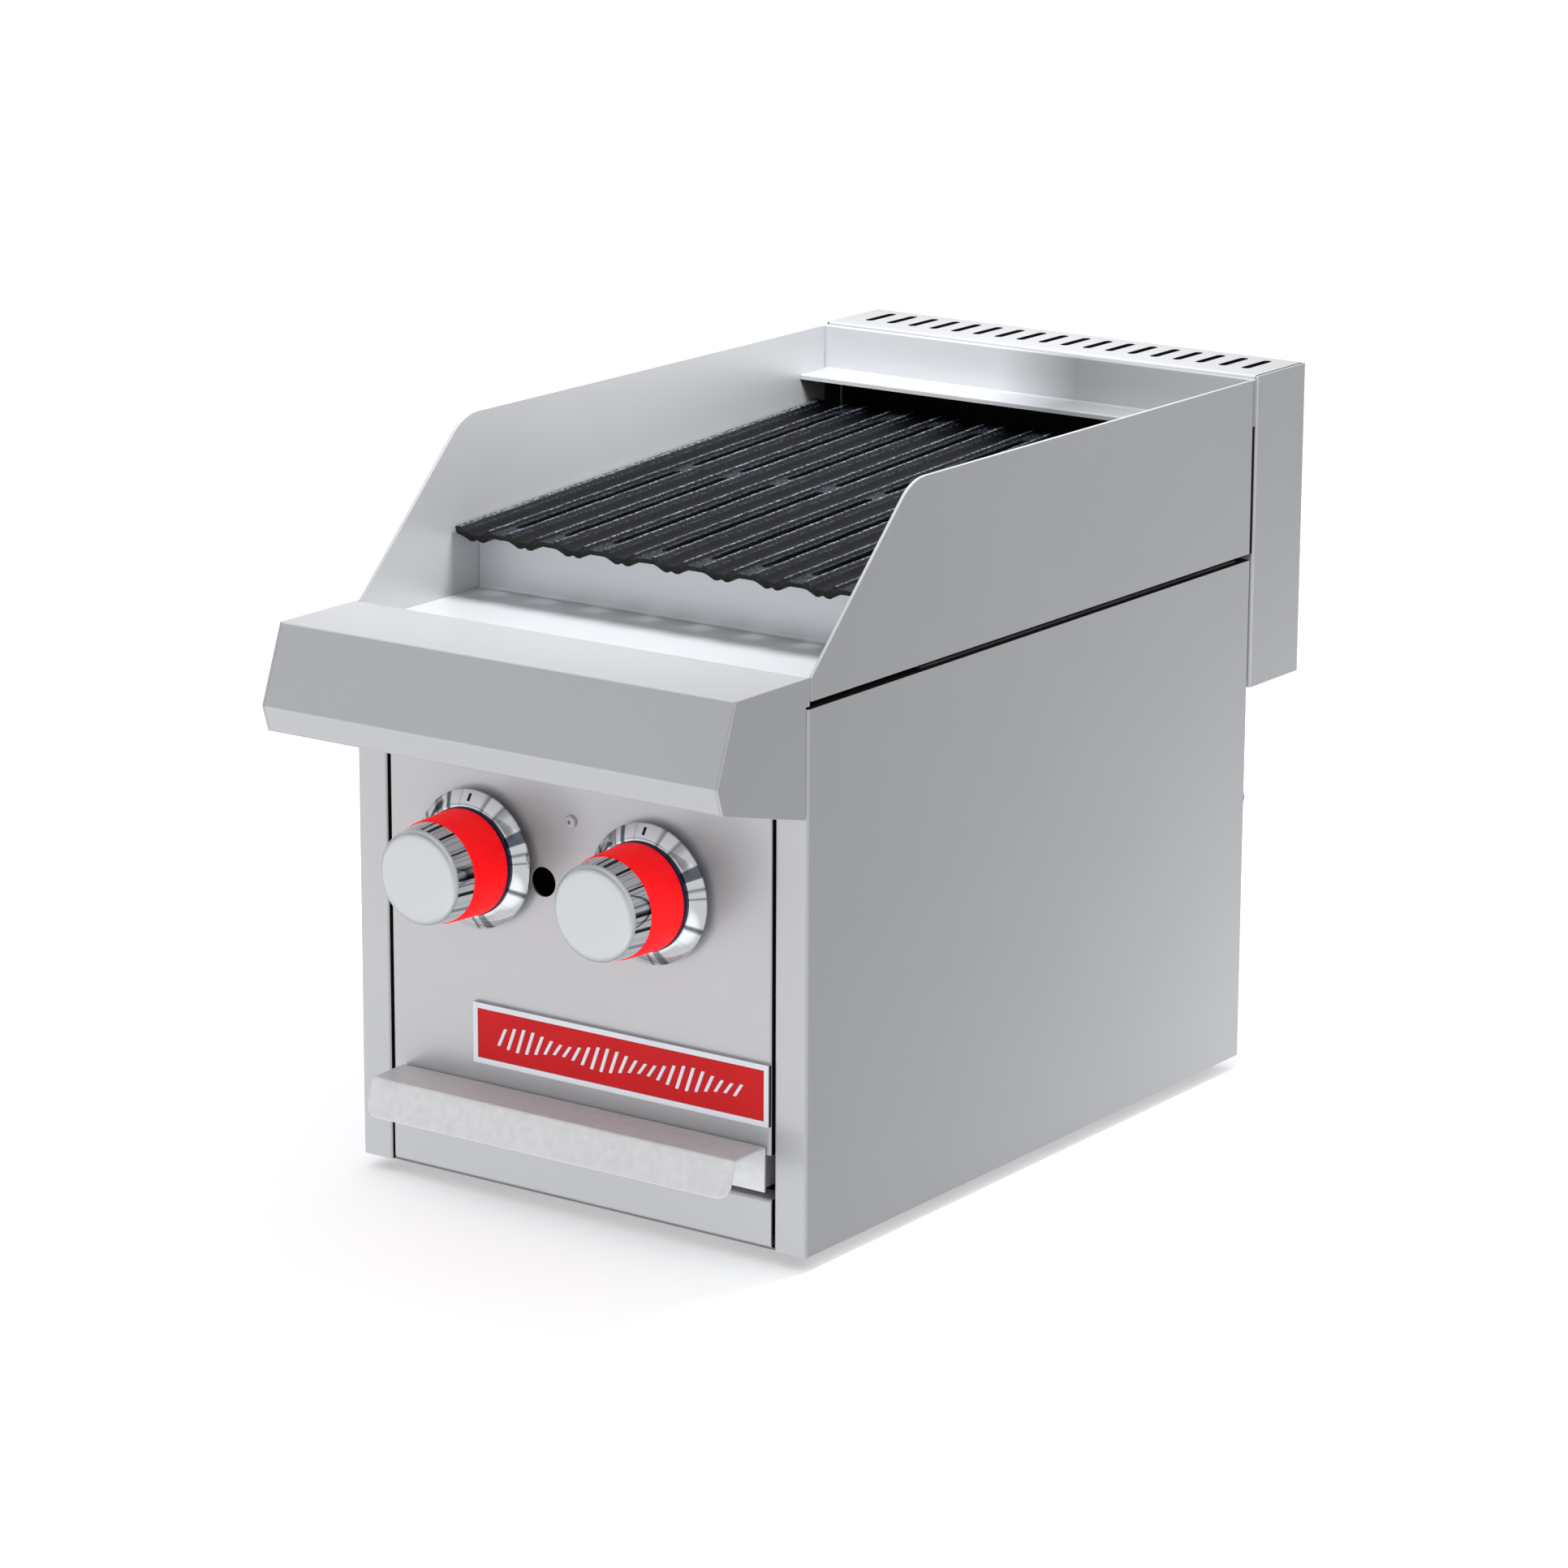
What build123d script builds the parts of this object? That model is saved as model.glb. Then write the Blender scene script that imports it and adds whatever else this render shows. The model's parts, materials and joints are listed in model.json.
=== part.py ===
from build123d import *
import os
from math import cos, radians, sin, tan

os.makedirs("parts", exist_ok=True)

# A countertop gas charbroiler, one module wide. Millimetres, +Z up, front towards -Y.
# The origin is on the ground, under the middle of the whole outline.

# ---------------------------------------------------------------- driving dimensions
width = 300
foot_height = 8
body_height = 297
body_depth = 440.5
sheet = 1.5
thin_sheet = 1.2
bend = 2.0
running = 0.05
lift_gap = 0.3

# Front ledge: reach in front of the body, and the heights of its corners above the body's bottom
ledge_reach = 78.5
ledge_top = 314
ledge_shoulder = 62.3
ledge_nose = 270.8
ledge_chin = 256.5
ledge_chin_reach = 74
ledge_under = 238.6

# Rear flue: a box hung on the back
flue_gap = 2.7
flue_depth = 54.8
flue_bottom = 221
flue_top_height = 403.7

# Levels and planes of the whole module
base = foot_height
overall_depth = ledge_reach + body_depth + flue_gap + flue_depth
front = -overall_depth / 2 + ledge_reach
back = front + body_depth
half = width / 2
body_top = base + body_height
top = base + flue_top_height
deck = base + 300.7
guard_top = base + 402

# Front face
post_width = 20.6
seam = 1.8
panel_half = half - post_width - seam
slot_bottom = base + 27.9
slot_top = base + 52.3
return_depth = 15

# Firebox
fire_front = front + 108.5
fire_back = front + 430
fire_half = 114
fire_throat = base + 230
fire_lip_half = 138
fire_bottom = base + 62

# Knobs, valves and burners share two upright planes
knob_x = {"left": -65.5, "right": 51.5}
knob_z = base + 184
burner_rise = 18
burner_z = knob_z + burner_rise
pipe_radius = 10.65
pipe_wall = 2.8
pipe_bore = pipe_radius - pipe_wall
pipe_z = knob_z - 34
pipe_y = front + 34
supply_x = 127.5

# Grate
grate_half = 146.5
grate_front = front + 82
grate_back = front + 430
grate_front_top = base + 341.8
grate_slope = 2.9
rib_pitch = 33.2
slot_rows = 8

# Drip tray
tray_x = 2.6
tray_half = 122.1
tray_floor = base + 32.0
tray_top = base + 50
plate_top = base + 57.5
handle_depth = 26
handle_drop = 21

sides = (("left", -1), ("right", 1))


def folded(points, thickness=sheet, side=Side.LEFT, radius=bend):
    """Section of a sheet folded along points, its thickness on one side of the way they run."""
    with BuildSketch() as section:
        with BuildLine():
            FilletPolyline(*points, radius=radius)
            offset(amount=thickness, side=side, kind=Kind.INTERSECTION)
        make_face()
    return section.sketch


def along_y(x, y, z):
    """Plane at a point, with its normal pointing to the rear and its own Y axis up."""
    return Plane(origin=(x, y, z), x_dir=(-1, 0, 0), z_dir=(0, 1, 0))


# ---------------------------------------------------------------- body shell
# Side panel: one sheet that folds into the front post and a narrow rear flange,
# with a top flange that carries the deck.
rear_flange = 8
top_flange = 10
post_return = 12
for side, sign in sides:
    with BuildPart() as side_panel:
        with BuildSketch(Plane.XY.offset(base)):
            add(
                folded(
                    [
                        (half - post_width, front + post_return),
                        (half - post_width, front),
                        (half, front),
                        (half, back),
                        (half - rear_flange, back),
                    ]
                )
            )
        extrude(amount=body_height)
        with BuildSketch(Plane.XY.offset(body_top - sheet)):
            with Locations((half - top_flange / 2, (front + back) / 2)):
                Rectangle(top_flange, body_depth - 2 * sheet)
        extrude(amount=sheet)
        if sign < 0:
            mirror(about=Plane.YZ, mode=Mode.REPLACE)
    side_panel.part.label = f"side_panel_{side}"
    export_step(side_panel.part, f"parts/side_panel_{side}.step")

# Bottom pan, with its side edges turned up against the side panels
pan_lip = 12
pan_front = front + sheet
pan_back = back - 2 * sheet
pan_half = half - sheet
with BuildPart() as bottom_pan:
    with BuildSketch(Plane.XZ.offset(-pan_front)):
        add(
            folded(
                [
                    (-pan_half, base + pan_lip),
                    (-pan_half, base),
                    (pan_half, base),
                    (pan_half, base + pan_lip),
                ],
                thin_sheet,
            )
        )
    extrude(amount=-(pan_back - pan_front))
    with BuildSketch(Plane.XY.offset(base)):
        for sign in (-1, 1):
            with Locations((sign * (half - post_width / 2), front + post_return / 2)):
                Rectangle(post_width + 1, post_return + 1)
    extrude(amount=pan_lip, mode=Mode.SUBTRACT)
bottom_pan.part.label = "bottom_pan"
export_step(bottom_pan.part, "parts/bottom_pan.step")

# Rear panel, screwed to the side panels from inside their flanges, with the gas pipe's hole
pipe_hole = 12
with BuildPart() as rear_panel:
    with BuildSketch(Plane.XZ.offset(-(back - sheet))):
        with Locations((0, (base + thin_sheet + body_top) / 2)):
            Rectangle(2 * pan_half - 1, body_height - thin_sheet)
        with Locations((supply_x, pipe_z)):
            Circle(pipe_hole, mode=Mode.SUBTRACT)
    extrude(amount=sheet)
    with BuildSketch(Plane.XY.offset(body_top - sheet)):
        for sign in (-1, 1):
            with Locations((sign * (half - top_flange / 2), back - 2 * sheet)):
                Rectangle(top_flange + 1, 4 * sheet)
    extrude(amount=sheet, mode=Mode.SUBTRACT)
rear_panel.part.label = "rear_panel"
export_step(rear_panel.part, "parts/rear_panel.step")

# Lower front rail, a channel under the tray slot
with BuildPart() as lower_rail:
    with BuildSketch(Plane.YZ.offset(-panel_half)):
        add(
            folded(
                [
                    (front + return_depth, base + thin_sheet),
                    (front, base + thin_sheet),
                    (front, slot_bottom),
                    (front + return_depth, slot_bottom),
                ],
                side=Side.RIGHT,
            )
        )
    extrude(amount=2 * panel_half)
lower_rail.part.label = "lower_rail"
export_step(lower_rail.part, "parts/lower_rail.step")

# Control panel: flush between the posts, with its edges returned, two stem holes,
# a lighting hole and a screw hole
panel_top = base + 292
stem_hole = 7
light_x = -22.5
light_z = base + 177
light_radius = 8.2
screw_x = -3.2
screw_z = base + 213.5
screw_hole = 2.1
with BuildPart() as control_panel:
    with BuildSketch(Plane.XY.offset(slot_top)):
        add(
            folded(
                [
                    (-panel_half, front + return_depth),
                    (-panel_half, front),
                    (panel_half, front),
                    (panel_half, front + return_depth),
                ]
            )
        )
    extrude(amount=panel_top - slot_top)
    with BuildSketch(Plane.XY.offset(slot_top)):
        with Locations((0, front + return_depth / 2 + sheet / 2)):
            Rectangle(2 * (panel_half - sheet), return_depth - sheet)
    extrude(amount=sheet)
    with BuildSketch(Plane.XZ.offset(-front)):
        with Locations(*[(x, knob_z) for x in knob_x.values()]):
            Circle(stem_hole)
        with Locations((light_x, light_z)):
            Circle(light_radius)
        with Locations((screw_x, screw_z)):
            Circle(screw_hole)
    extrude(amount=-sheet, mode=Mode.SUBTRACT)
control_panel.part.label = "control_panel"
export_step(control_panel.part, "parts/control_panel.step")

# Button-head screw in the panel, with a hexagon socket
head_radius = 3.6
head_height = 2.1
with BuildPart() as panel_screw:
    with BuildSketch(along_y(screw_x, front - head_height, screw_z)):
        Circle(head_radius)
    extrude(amount=head_height)
    fillet(panel_screw.edges().filter_by(GeomType.CIRCLE).sort_by(Axis.Y)[0], 1.4)
    with BuildSketch(along_y(screw_x, front, screw_z)):
        Circle(screw_hole - running)
    extrude(amount=8)
    with BuildSketch(along_y(screw_x, front - head_height, screw_z)):
        RegularPolygon(1.2, 6)
    extrude(amount=1.4, mode=Mode.SUBTRACT)
panel_screw.part.label = "panel_screw"
export_step(panel_screw.part, "parts/panel_screw.step")

# ---------------------------------------------------------------- front ledge
# The ledge is one folded sheet from the deck's edge round the nose and back to the panel.
cap = sheet
ledge_lap = 1.0
ledge_back = front + ledge_lap
ledge_flange = 22
ledge_line = [
    (ledge_back, deck),
    (ledge_back, base + ledge_top),
    (front - ledge_shoulder, base + ledge_top),
    (front - ledge_reach, base + ledge_nose),
    (front - ledge_chin_reach, base + ledge_chin),
    (front, base + ledge_under),
    (front, base + ledge_under + ledge_flange),
]
with BuildPart() as ledge:
    with BuildSketch(Plane.YZ.offset(-(half - cap))):
        add(folded(ledge_line))
    extrude(amount=2 * (half - cap))
ledge.part.label = "ledge"
export_step(ledge.part, "parts/ledge.step")

# Flat caps close the ledge's ends, and stand just clear of the side panels
cap_gap = 1.6
cap_back = ledge_back + 0.8
for side, sign in sides:
    with BuildPart() as ledge_cap:
        with BuildSketch(Plane.YZ.offset(sign * half)):
            with BuildLine():
                Polyline(
                    (cap_back, base + ledge_top),
                    *ledge_line[2:5],
                    (front - cap_gap, base + ledge_under),
                    (front - cap_gap, body_top + cap_gap),
                    (cap_back, body_top + cap_gap),
                    close=True,
                )
            make_face()
        extrude(amount=-sign * cap)
    ledge_cap.part.label = f"ledge_cap_{side}"
    export_step(ledge_cap.part, f"parts/ledge_cap_{side}.step")

# ---------------------------------------------------------------- deck and guards
# Front trough: a floor below the ledge's top, a riser, and a flange under the grate
guard = 1.9
guard_inner = half - guard
riser = front + 105.5
riser_top = base + 334.3
grate_bearing = 14
with BuildPart() as front_trough:
    with BuildSketch(Plane.YZ.offset(-guard_inner)):
        add(
            folded(
                [
                    (ledge_back, deck + sheet),
                    (riser, deck + sheet),
                    (riser, riser_top),
                    (riser + grate_bearing, riser_top),
                ],
                side=Side.RIGHT,
            )
        )
    extrude(amount=2 * guard_inner)
front_trough.part.label = "front_trough"
export_step(front_trough.part, "parts/front_trough.step")

# Splash guards: upright side plates with a sloped front and a rounded shoulder,
# turned in along the bottom behind the trough
nose = front + 2.8
nose_top = base + 313.2
shoulder = front + 93.8
guard_back = front + 439.2
guard_flange = 14
shoulder_radius = 30
flange_front = riser + 2 * sheet
for side, sign in sides:
    with BuildPart() as splash_guard:
        with BuildSketch(Plane.YZ.offset(sign * half)):
            with BuildLine():
                FilletPolyline(
                    (nose, nose_top),
                    (shoulder, guard_top),
                    (guard_back, guard_top),
                    radius=shoulder_radius,
                )
                Polyline((guard_back, guard_top), (guard_back, deck), (nose, deck), (nose, nose_top))
            make_face()
        extrude(amount=-sign * guard)
        with BuildSketch(Plane.XY.offset(deck)):
            with Locations((sign * (guard_inner - guard_flange / 2), (flange_front + guard_back) / 2)):
                Rectangle(guard_flange, guard_back - flange_front)
        extrude(amount=guard)
    splash_guard.part.label = f"splash_guard_{side}"
    export_step(splash_guard.part, f"parts/splash_guard_{side}.step")

# Insulating strips between the firebox flanges and the deck leave a dark reveal outside
reveal = 8
strip_width = 10
strip_bottom = body_top + thin_sheet
with BuildPart() as insulating_strips:
    with BuildSketch(Plane.XY.offset(strip_bottom)):
        for sign in (-1, 1):
            with Locations((sign * (half - reveal - strip_width / 2), (front + guard_back) / 2 + reveal)):
                Rectangle(strip_width, guard_back - front - 3 * reveal)
    extrude(amount=deck - strip_bottom)
insulating_strips.part.label = "insulating_strips"
export_step(insulating_strips.part, "parts/insulating_strips.step")

# Backsplash: an upright strip whose lower edge folds forward into the rear shelf
shelf_top = base + 376
shelf_front = front + 414
shelf_lip = 3
splash_face = front + 439.9
guard_clear = 0.2
notch_over = 4
with BuildPart() as backsplash:
    with BuildSketch(Plane.YZ.offset(-half)):
        add(
            folded(
                [
                    (splash_face + flue_gap, guard_top),
                    (splash_face, guard_top),
                    (splash_face, shelf_top),
                    (shelf_front, shelf_top),
                    (shelf_front, shelf_top - shelf_lip),
                ],
                radius=1.0,
                thickness=sheet,
                side=Side.LEFT,
            )
        )
    extrude(amount=width)
    with BuildSketch(Plane.XY.offset(body_top)):
        for sign in (-1, 1):
            with Locations((sign * half, (shelf_front + splash_face) / 2 - notch_over)):
                Rectangle(2 * (guard + guard_clear), splash_face - shelf_front + 2 * notch_over)
    extrude(amount=width, mode=Mode.SUBTRACT)
backsplash.part.label = "backsplash"
export_step(backsplash.part, "parts/backsplash.step")

# Throat plate: the wall behind the grate, with the window to the flue
window_half = 138
window_bottom = base + 304
window_top = base + 369.5
throat_back = splash_face + sheet
with BuildPart() as throat_plate:
    with BuildSketch(Plane.XZ.offset(-splash_face)):
        with Locations((0, (deck + shelf_top - sheet) / 2)):
            Rectangle(width, shelf_top - sheet - deck)
        with Locations((0, (window_bottom + window_top) / 2)):
            Rectangle(2 * window_half, window_top - window_bottom, mode=Mode.SUBTRACT)
    extrude(amount=-sheet)
throat_plate.part.label = "throat_plate"
export_step(throat_plate.part, "parts/throat_plate.step")

# ---------------------------------------------------------------- flue
flue_front = back + flue_gap
flue_back = flue_front + flue_depth
lid_seam = 0.5
slot_drop = 4
with BuildPart() as flue_box:
    with BuildSketch(Plane.XY.offset(base + flue_bottom)):
        with Locations((0, (flue_front + flue_back) / 2)):
            RectangleRounded(width, flue_depth, bend)
    extrude(amount=flue_top_height - flue_bottom - lid_seam)
    with BuildSketch(Plane.XY.offset(base + flue_bottom + sheet)):
        with Locations((0, (flue_front + flue_back) / 2)):
            Rectangle(width - 2 * sheet, flue_depth - 2 * sheet)
    extrude(amount=flue_top_height, mode=Mode.SUBTRACT)
    with BuildSketch(Plane.XZ.offset(-flue_front)):
        with Locations((0, (window_bottom + window_top) / 2)):
            Rectangle(2 * window_half, window_top - window_bottom)
    extrude(amount=-sheet, mode=Mode.SUBTRACT)
    with BuildSketch(Plane.XY.offset(guard_top - slot_drop)):
        with Locations((0, flue_front)):
            Rectangle(width - 2 * sheet, 4 * sheet)
    extrude(amount=2 * flue_gap + slot_drop, mode=Mode.SUBTRACT)
flue_box.part.label = "flue_box"
export_step(flue_box.part, "parts/flue_box.step")

# Flue lid: a slotted cover between the box's walls, its front and rear edges turned down
vent_count = 18
vent_pitch = 15.42
vent_length = 28.5
vent_width = 5.4
vent_y = front + 473.7
lid_half = half - sheet - lid_seam
lid_lip = 6
with BuildPart() as flue_lid:
    with BuildSketch(Plane.YZ.offset(-lid_half)):
        add(
            folded(
                [
                    (flue_back - sheet - lid_seam, top - lid_lip),
                    (flue_back - sheet - lid_seam, top),
                    (flue_front, top),
                    (flue_front, top - lid_lip + lid_seam),
                ]
            )
        )
    extrude(amount=2 * lid_half)
    with BuildSketch(Plane.XY.offset(top)):
        with Locations((0, vent_y)):
            with GridLocations(vent_pitch, 0, vent_count, 1):
                SlotOverall(vent_length, vent_width, rotation=90)
    extrude(amount=-sheet, mode=Mode.SUBTRACT)
flue_lid.part.label = "flue_lid"
export_step(flue_lid.part, "parts/flue_lid.step")

# ---------------------------------------------------------------- firebox
# Side liners: upright below, flared above, with a flange that lies on the side panel
liner_flange = 8
for side, sign in sides:
    with BuildPart() as firebox_side:
        with BuildSketch(Plane.XZ.offset(-fire_front)):
            add(
                folded(
                    [
                        (fire_half, fire_bottom),
                        (fire_half, fire_throat),
                        (fire_lip_half, body_top + thin_sheet),
                        (fire_lip_half + liner_flange, body_top + thin_sheet),
                    ],
                    thin_sheet,
                    Side.RIGHT,
                )
            )
        extrude(amount=-(fire_back - fire_front))
        if sign < 0:
            mirror(about=Plane.YZ, mode=Mode.REPLACE)
    firebox_side.part.label = f"firebox_{side}"
    export_step(firebox_side.part, f"parts/firebox_{side}.step")


def fire_wall_outline():
    """Outline of the firebox across its width, just inside the two side liners."""
    clear = 0.1
    with BuildSketch() as outline:
        with BuildLine():
            Polyline(
                (fire_half - clear, fire_bottom),
                (fire_half - clear, fire_throat),
                (fire_lip_half - clear, body_top + thin_sheet),
                (-fire_lip_half + clear, body_top + thin_sheet),
                (-fire_half + clear, fire_throat),
                (-fire_half + clear, fire_bottom),
                close=True,
            )
        make_face()
    return outline.sketch


neck_radius = 15
neck_clearance = 0.4
pilot_x = light_x
pilot_tube_radius = 2
pilot_tube_z = knob_z + 30
with BuildPart() as firebox_front:
    with BuildSketch(Plane.XZ.offset(-fire_front)):
        add(fire_wall_outline())
        with Locations(*[(x, burner_z) for x in knob_x.values()]):
            Circle(neck_radius + neck_clearance, mode=Mode.SUBTRACT)
        with Locations((pilot_x, pilot_tube_z)):
            Circle(pilot_tube_radius + neck_clearance, mode=Mode.SUBTRACT)
    extrude(amount=-thin_sheet)
firebox_front.part.label = "firebox_front"
export_step(firebox_front.part, "parts/firebox_front.step")

stud_radius = 4
with BuildPart() as firebox_rear:
    with BuildSketch(Plane.XZ.offset(-fire_back)):
        add(fire_wall_outline())
        with Locations(*[(x, burner_z) for x in knob_x.values()]):
            Circle(stud_radius + neck_clearance, mode=Mode.SUBTRACT)
    extrude(amount=thin_sheet)
firebox_rear.part.label = "firebox_rear"
export_step(firebox_rear.part, "parts/firebox_rear.step")

# Angle rails across the firebox carry the radiants
rail_leg = 15
rail_half = fire_half - 1
radiant_seat = base + 238
rail_inner = fire_front + thin_sheet
rail_places = {"front": (rail_inner, 1), "rear": (fire_back - thin_sheet, -1)}
for place, (wall, way) in rail_places.items():
    with BuildPart() as radiant_rail:
        with BuildSketch(Plane.YZ.offset(-rail_half)):
            with BuildLine():
                Polyline(
                    (wall, radiant_seat - rail_leg),
                    (wall, radiant_seat),
                    (wall + way * rail_leg, radiant_seat),
                    (wall + way * rail_leg, radiant_seat - thin_sheet),
                    (wall + way * thin_sheet, radiant_seat - thin_sheet),
                    (wall + way * thin_sheet, radiant_seat - rail_leg),
                    close=True,
                )
            make_face()
        extrude(amount=2 * rail_half)
        with BuildSketch(Plane.XZ.offset(-rail_inner + 1)):
            with Locations(*[(x, burner_z) for x in knob_x.values()]):
                Circle(neck_radius + 8)
        extrude(amount=-(fire_back - fire_front), mode=Mode.SUBTRACT)
    radiant_rail.part.label = f"radiant_rail_{place}"
    export_step(radiant_rail.part, f"parts/radiant_rail_{place}.step")

# Radiants: folded steel roofs that shed grease off the burners, their feet on the rails
radiant_half = 38
radiant_rise = 30
radiant_foot = 7
radiant_end_gap = 1.5
for side, x in knob_x.items():
    with BuildPart() as radiant:
        with BuildSketch(Plane.XZ.offset(-(rail_inner + radiant_end_gap))):
            with Locations((x, radiant_seat + lift_gap)):
                add(
                    folded(
                        [
                            (-radiant_half - radiant_foot, 0),
                            (-radiant_half, 0),
                            (0, radiant_rise),
                            (radiant_half, 0),
                            (radiant_half + radiant_foot, 0),
                        ],
                        2.0,
                        radius=3,
                    )
                )
        extrude(amount=-(fire_back - rail_inner - thin_sheet - 2 * radiant_end_gap))
    radiant.part.label = f"radiant_{side}"
    export_step(radiant.part, f"parts/radiant_{side}.step")

# Rear bearing bar for the grate
bearing_drop = 9.2
bearing_top = grate_front_top + (fire_back - grate_front) * tan(radians(grate_slope)) - bearing_drop
bearing_depth = 16
with BuildPart() as grate_bearer:
    with BuildSketch(Plane.YZ.offset(-guard_inner)):
        with BuildLine():
            Polyline(
                (splash_face, bearing_top - bearing_depth),
                (splash_face, bearing_top),
                (splash_face - bearing_depth, bearing_top),
                (splash_face - bearing_depth, bearing_top - sheet),
                (splash_face - sheet, bearing_top - sheet),
                (splash_face - sheet, bearing_top - bearing_depth),
                close=True,
            )
        make_face()
    extrude(amount=2 * guard_inner)
grate_bearer.part.label = "grate_bearer"
export_step(grate_bearer.part, "parts/grate_bearer.step")

# ---------------------------------------------------------------- grate
# A ribbed casting that climbs to the rear: pairs of rounded ribs with a slotted channel
# between them, and deeper gutters between the pairs. Its wall keeps much the same thickness,
# so each gutter shows below as a keel with two lobes.
rib_offset = 6.7
rib_crown = 1.3
channel_depth = 1.7
channel_half = 4.8
gutter_depth = 4.0
gutter_half = 3.2
web_depth = 4.6
web_half = 5.6
keel_depth = 8.2
keel_notch = 7.0
lobe_offset = 3.4
lobe_half = 1.6
rim_width = 3.6
rib_round = 0.9
slot_width = 5.6
slot_spans = ((20, 165), (184, 326))
grate_run = (grate_back - grate_front) / cos(radians(grate_slope))
grate_plane = Plane(
    origin=(0, grate_front, grate_front_top),
    x_dir=(1, 0, 0),
    z_dir=(0, -cos(radians(grate_slope)), -sin(radians(grate_slope))),
)
grate_face = Plane(
    origin=(0, grate_front, grate_front_top),
    x_dir=(1, 0, 0),
    z_dir=(0, -sin(radians(grate_slope)), cos(radians(grate_slope))),
)
rib_centres = [(i - (slot_rows - 1) / 2) * rib_pitch for i in range(slot_rows)]

outer_gutter = slot_rows * rib_pitch / 2
crown_line = [
    (-grate_half, 0),
    (-grate_half + rim_width, 0),
    (-outer_gutter - gutter_half, -gutter_depth),
]
for x in rib_centres:
    crown_line += [
        (x - rib_pitch / 2 + gutter_half, -gutter_depth),
        (x - rib_offset - rib_crown, 0),
        (x - rib_offset + rib_crown, 0),
        (x - channel_half, -channel_depth),
        (x + channel_half, -channel_depth),
        (x + rib_offset - rib_crown, 0),
        (x + rib_offset + rib_crown, 0),
        (x + rib_pitch / 2 - gutter_half, -gutter_depth),
    ]
crown_line += [
    (outer_gutter + gutter_half, -gutter_depth),
    (grate_half - rim_width, 0),
    (grate_half, 0),
]
keel_line = [(grate_half, -web_depth)]
for i in range(slot_rows, -1, -1):
    x = -outer_gutter + i * rib_pitch
    keel_line += [
        (x + lobe_offset + lobe_half, -keel_depth),
        (x + lobe_offset - lobe_half, -keel_depth),
        (x, -keel_notch),
        (x - lobe_offset + lobe_half, -keel_depth),
        (x - lobe_offset - lobe_half, -keel_depth),
    ]
    if i > 0:
        middle = x - rib_pitch / 2
        keel_line += [(middle + web_half, -web_depth), (middle - web_half, -web_depth)]
keel_line += [(-grate_half, -web_depth)]

with BuildPart() as grate:
    with BuildSketch(grate_plane):
        with BuildLine():
            FilletPolyline(*crown_line, radius=rib_round)
            Polyline(crown_line[-1], *keel_line, crown_line[0])
        make_face()
    extrude(amount=-grate_run)
    with BuildSketch(grate_face):
        for start, end in slot_spans:
            with Locations(*[(x, (start + end) / 2) for x in rib_centres]):
                SlotOverall(end - start, slot_width, rotation=90)
    extrude(amount=-keel_depth, mode=Mode.SUBTRACT)
grate.part.label = "grate"
export_step(grate.part, "parts/grate.step")

# ---------------------------------------------------------------- burners
# Tubular burner: a neck with air windows, a cone, and a ported tube closed by a plug and stud
neck_start = front + 66
neck_end = front + 112
cone_end = front + 140
tube_end = front + 402
tube_radius = 19
tube_wall = 1.5
stud_end = front + 436
port_count = 22
port_pitch = 11
port_width = 1.6
port_length = 14
window_length = 10
window_start = front + 77
for side, x in knob_x.items():
    axis = Axis((x, 0, burner_z), (0, 1, 0))
    with BuildPart() as burner:
        with BuildSketch(Plane.YZ.offset(x)):
            with BuildLine():
                Polyline(
                    (neck_start, burner_z + neck_radius - tube_wall),
                    (neck_start, burner_z + neck_radius),
                    (neck_end, burner_z + neck_radius),
                    (cone_end, burner_z + tube_radius),
                    (tube_end, burner_z + tube_radius),
                    (tube_end, burner_z + stud_radius),
                    (stud_end, burner_z + stud_radius),
                    (stud_end, burner_z),
                    (tube_end - tube_wall, burner_z),
                    (tube_end - tube_wall, burner_z + tube_radius - tube_wall),
                    (cone_end, burner_z + tube_radius - tube_wall),
                    (neck_end, burner_z + neck_radius - tube_wall),
                    close=True,
                )
            make_face()
        revolve(axis=axis)
        with BuildSketch(Plane.XY.offset(burner_z + neck_radius)):
            with Locations((x, (cone_end + tube_end) / 2)):
                with GridLocations(0, port_pitch, 1, port_count):
                    Rectangle(port_length, port_width)
        extrude(amount=tube_radius, mode=Mode.SUBTRACT)
        with BuildSketch(Plane.YZ.offset(x)):
            with Locations((window_start + window_length / 2, burner_z)):
                Rectangle(window_length, 14)
        extrude(amount=2 * neck_radius, both=True, mode=Mode.SUBTRACT)
    burner.part.label = f"burner_{side}"
    export_step(burner.part, f"parts/burner_{side}.step")

# Air shutter: a split sleeve that turns on the neck to close its windows, with a thumb tab
shutter_wall = 1.2
shutter_start = front + 74
shutter_length = 16
tab_reach = 27
for side, x in knob_x.items():
    with BuildPart() as air_shutter:
        with BuildSketch(along_y(x, shutter_start, burner_z)):
            Circle(neck_radius + running + shutter_wall)
            Circle(neck_radius + running, mode=Mode.SUBTRACT)
        extrude(amount=shutter_length)
        with BuildSketch(Plane.YZ.offset(x)):
            with Locations((window_start + window_length / 2, burner_z)):
                Rectangle(window_length, 14)
        extrude(amount=2 * neck_radius, both=True, mode=Mode.SUBTRACT)
        with BuildSketch(along_y(x, shutter_start, burner_z)):
            with Locations((0, (tab_reach + neck_radius + shutter_wall) / 2)):
                Rectangle(10, tab_reach - neck_radius - shutter_wall + 0.8)
        extrude(amount=shutter_wall)
    air_shutter.part.label = f"air_shutter_{side}"
    export_step(air_shutter.part, f"parts/air_shutter_{side}.step")

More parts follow.
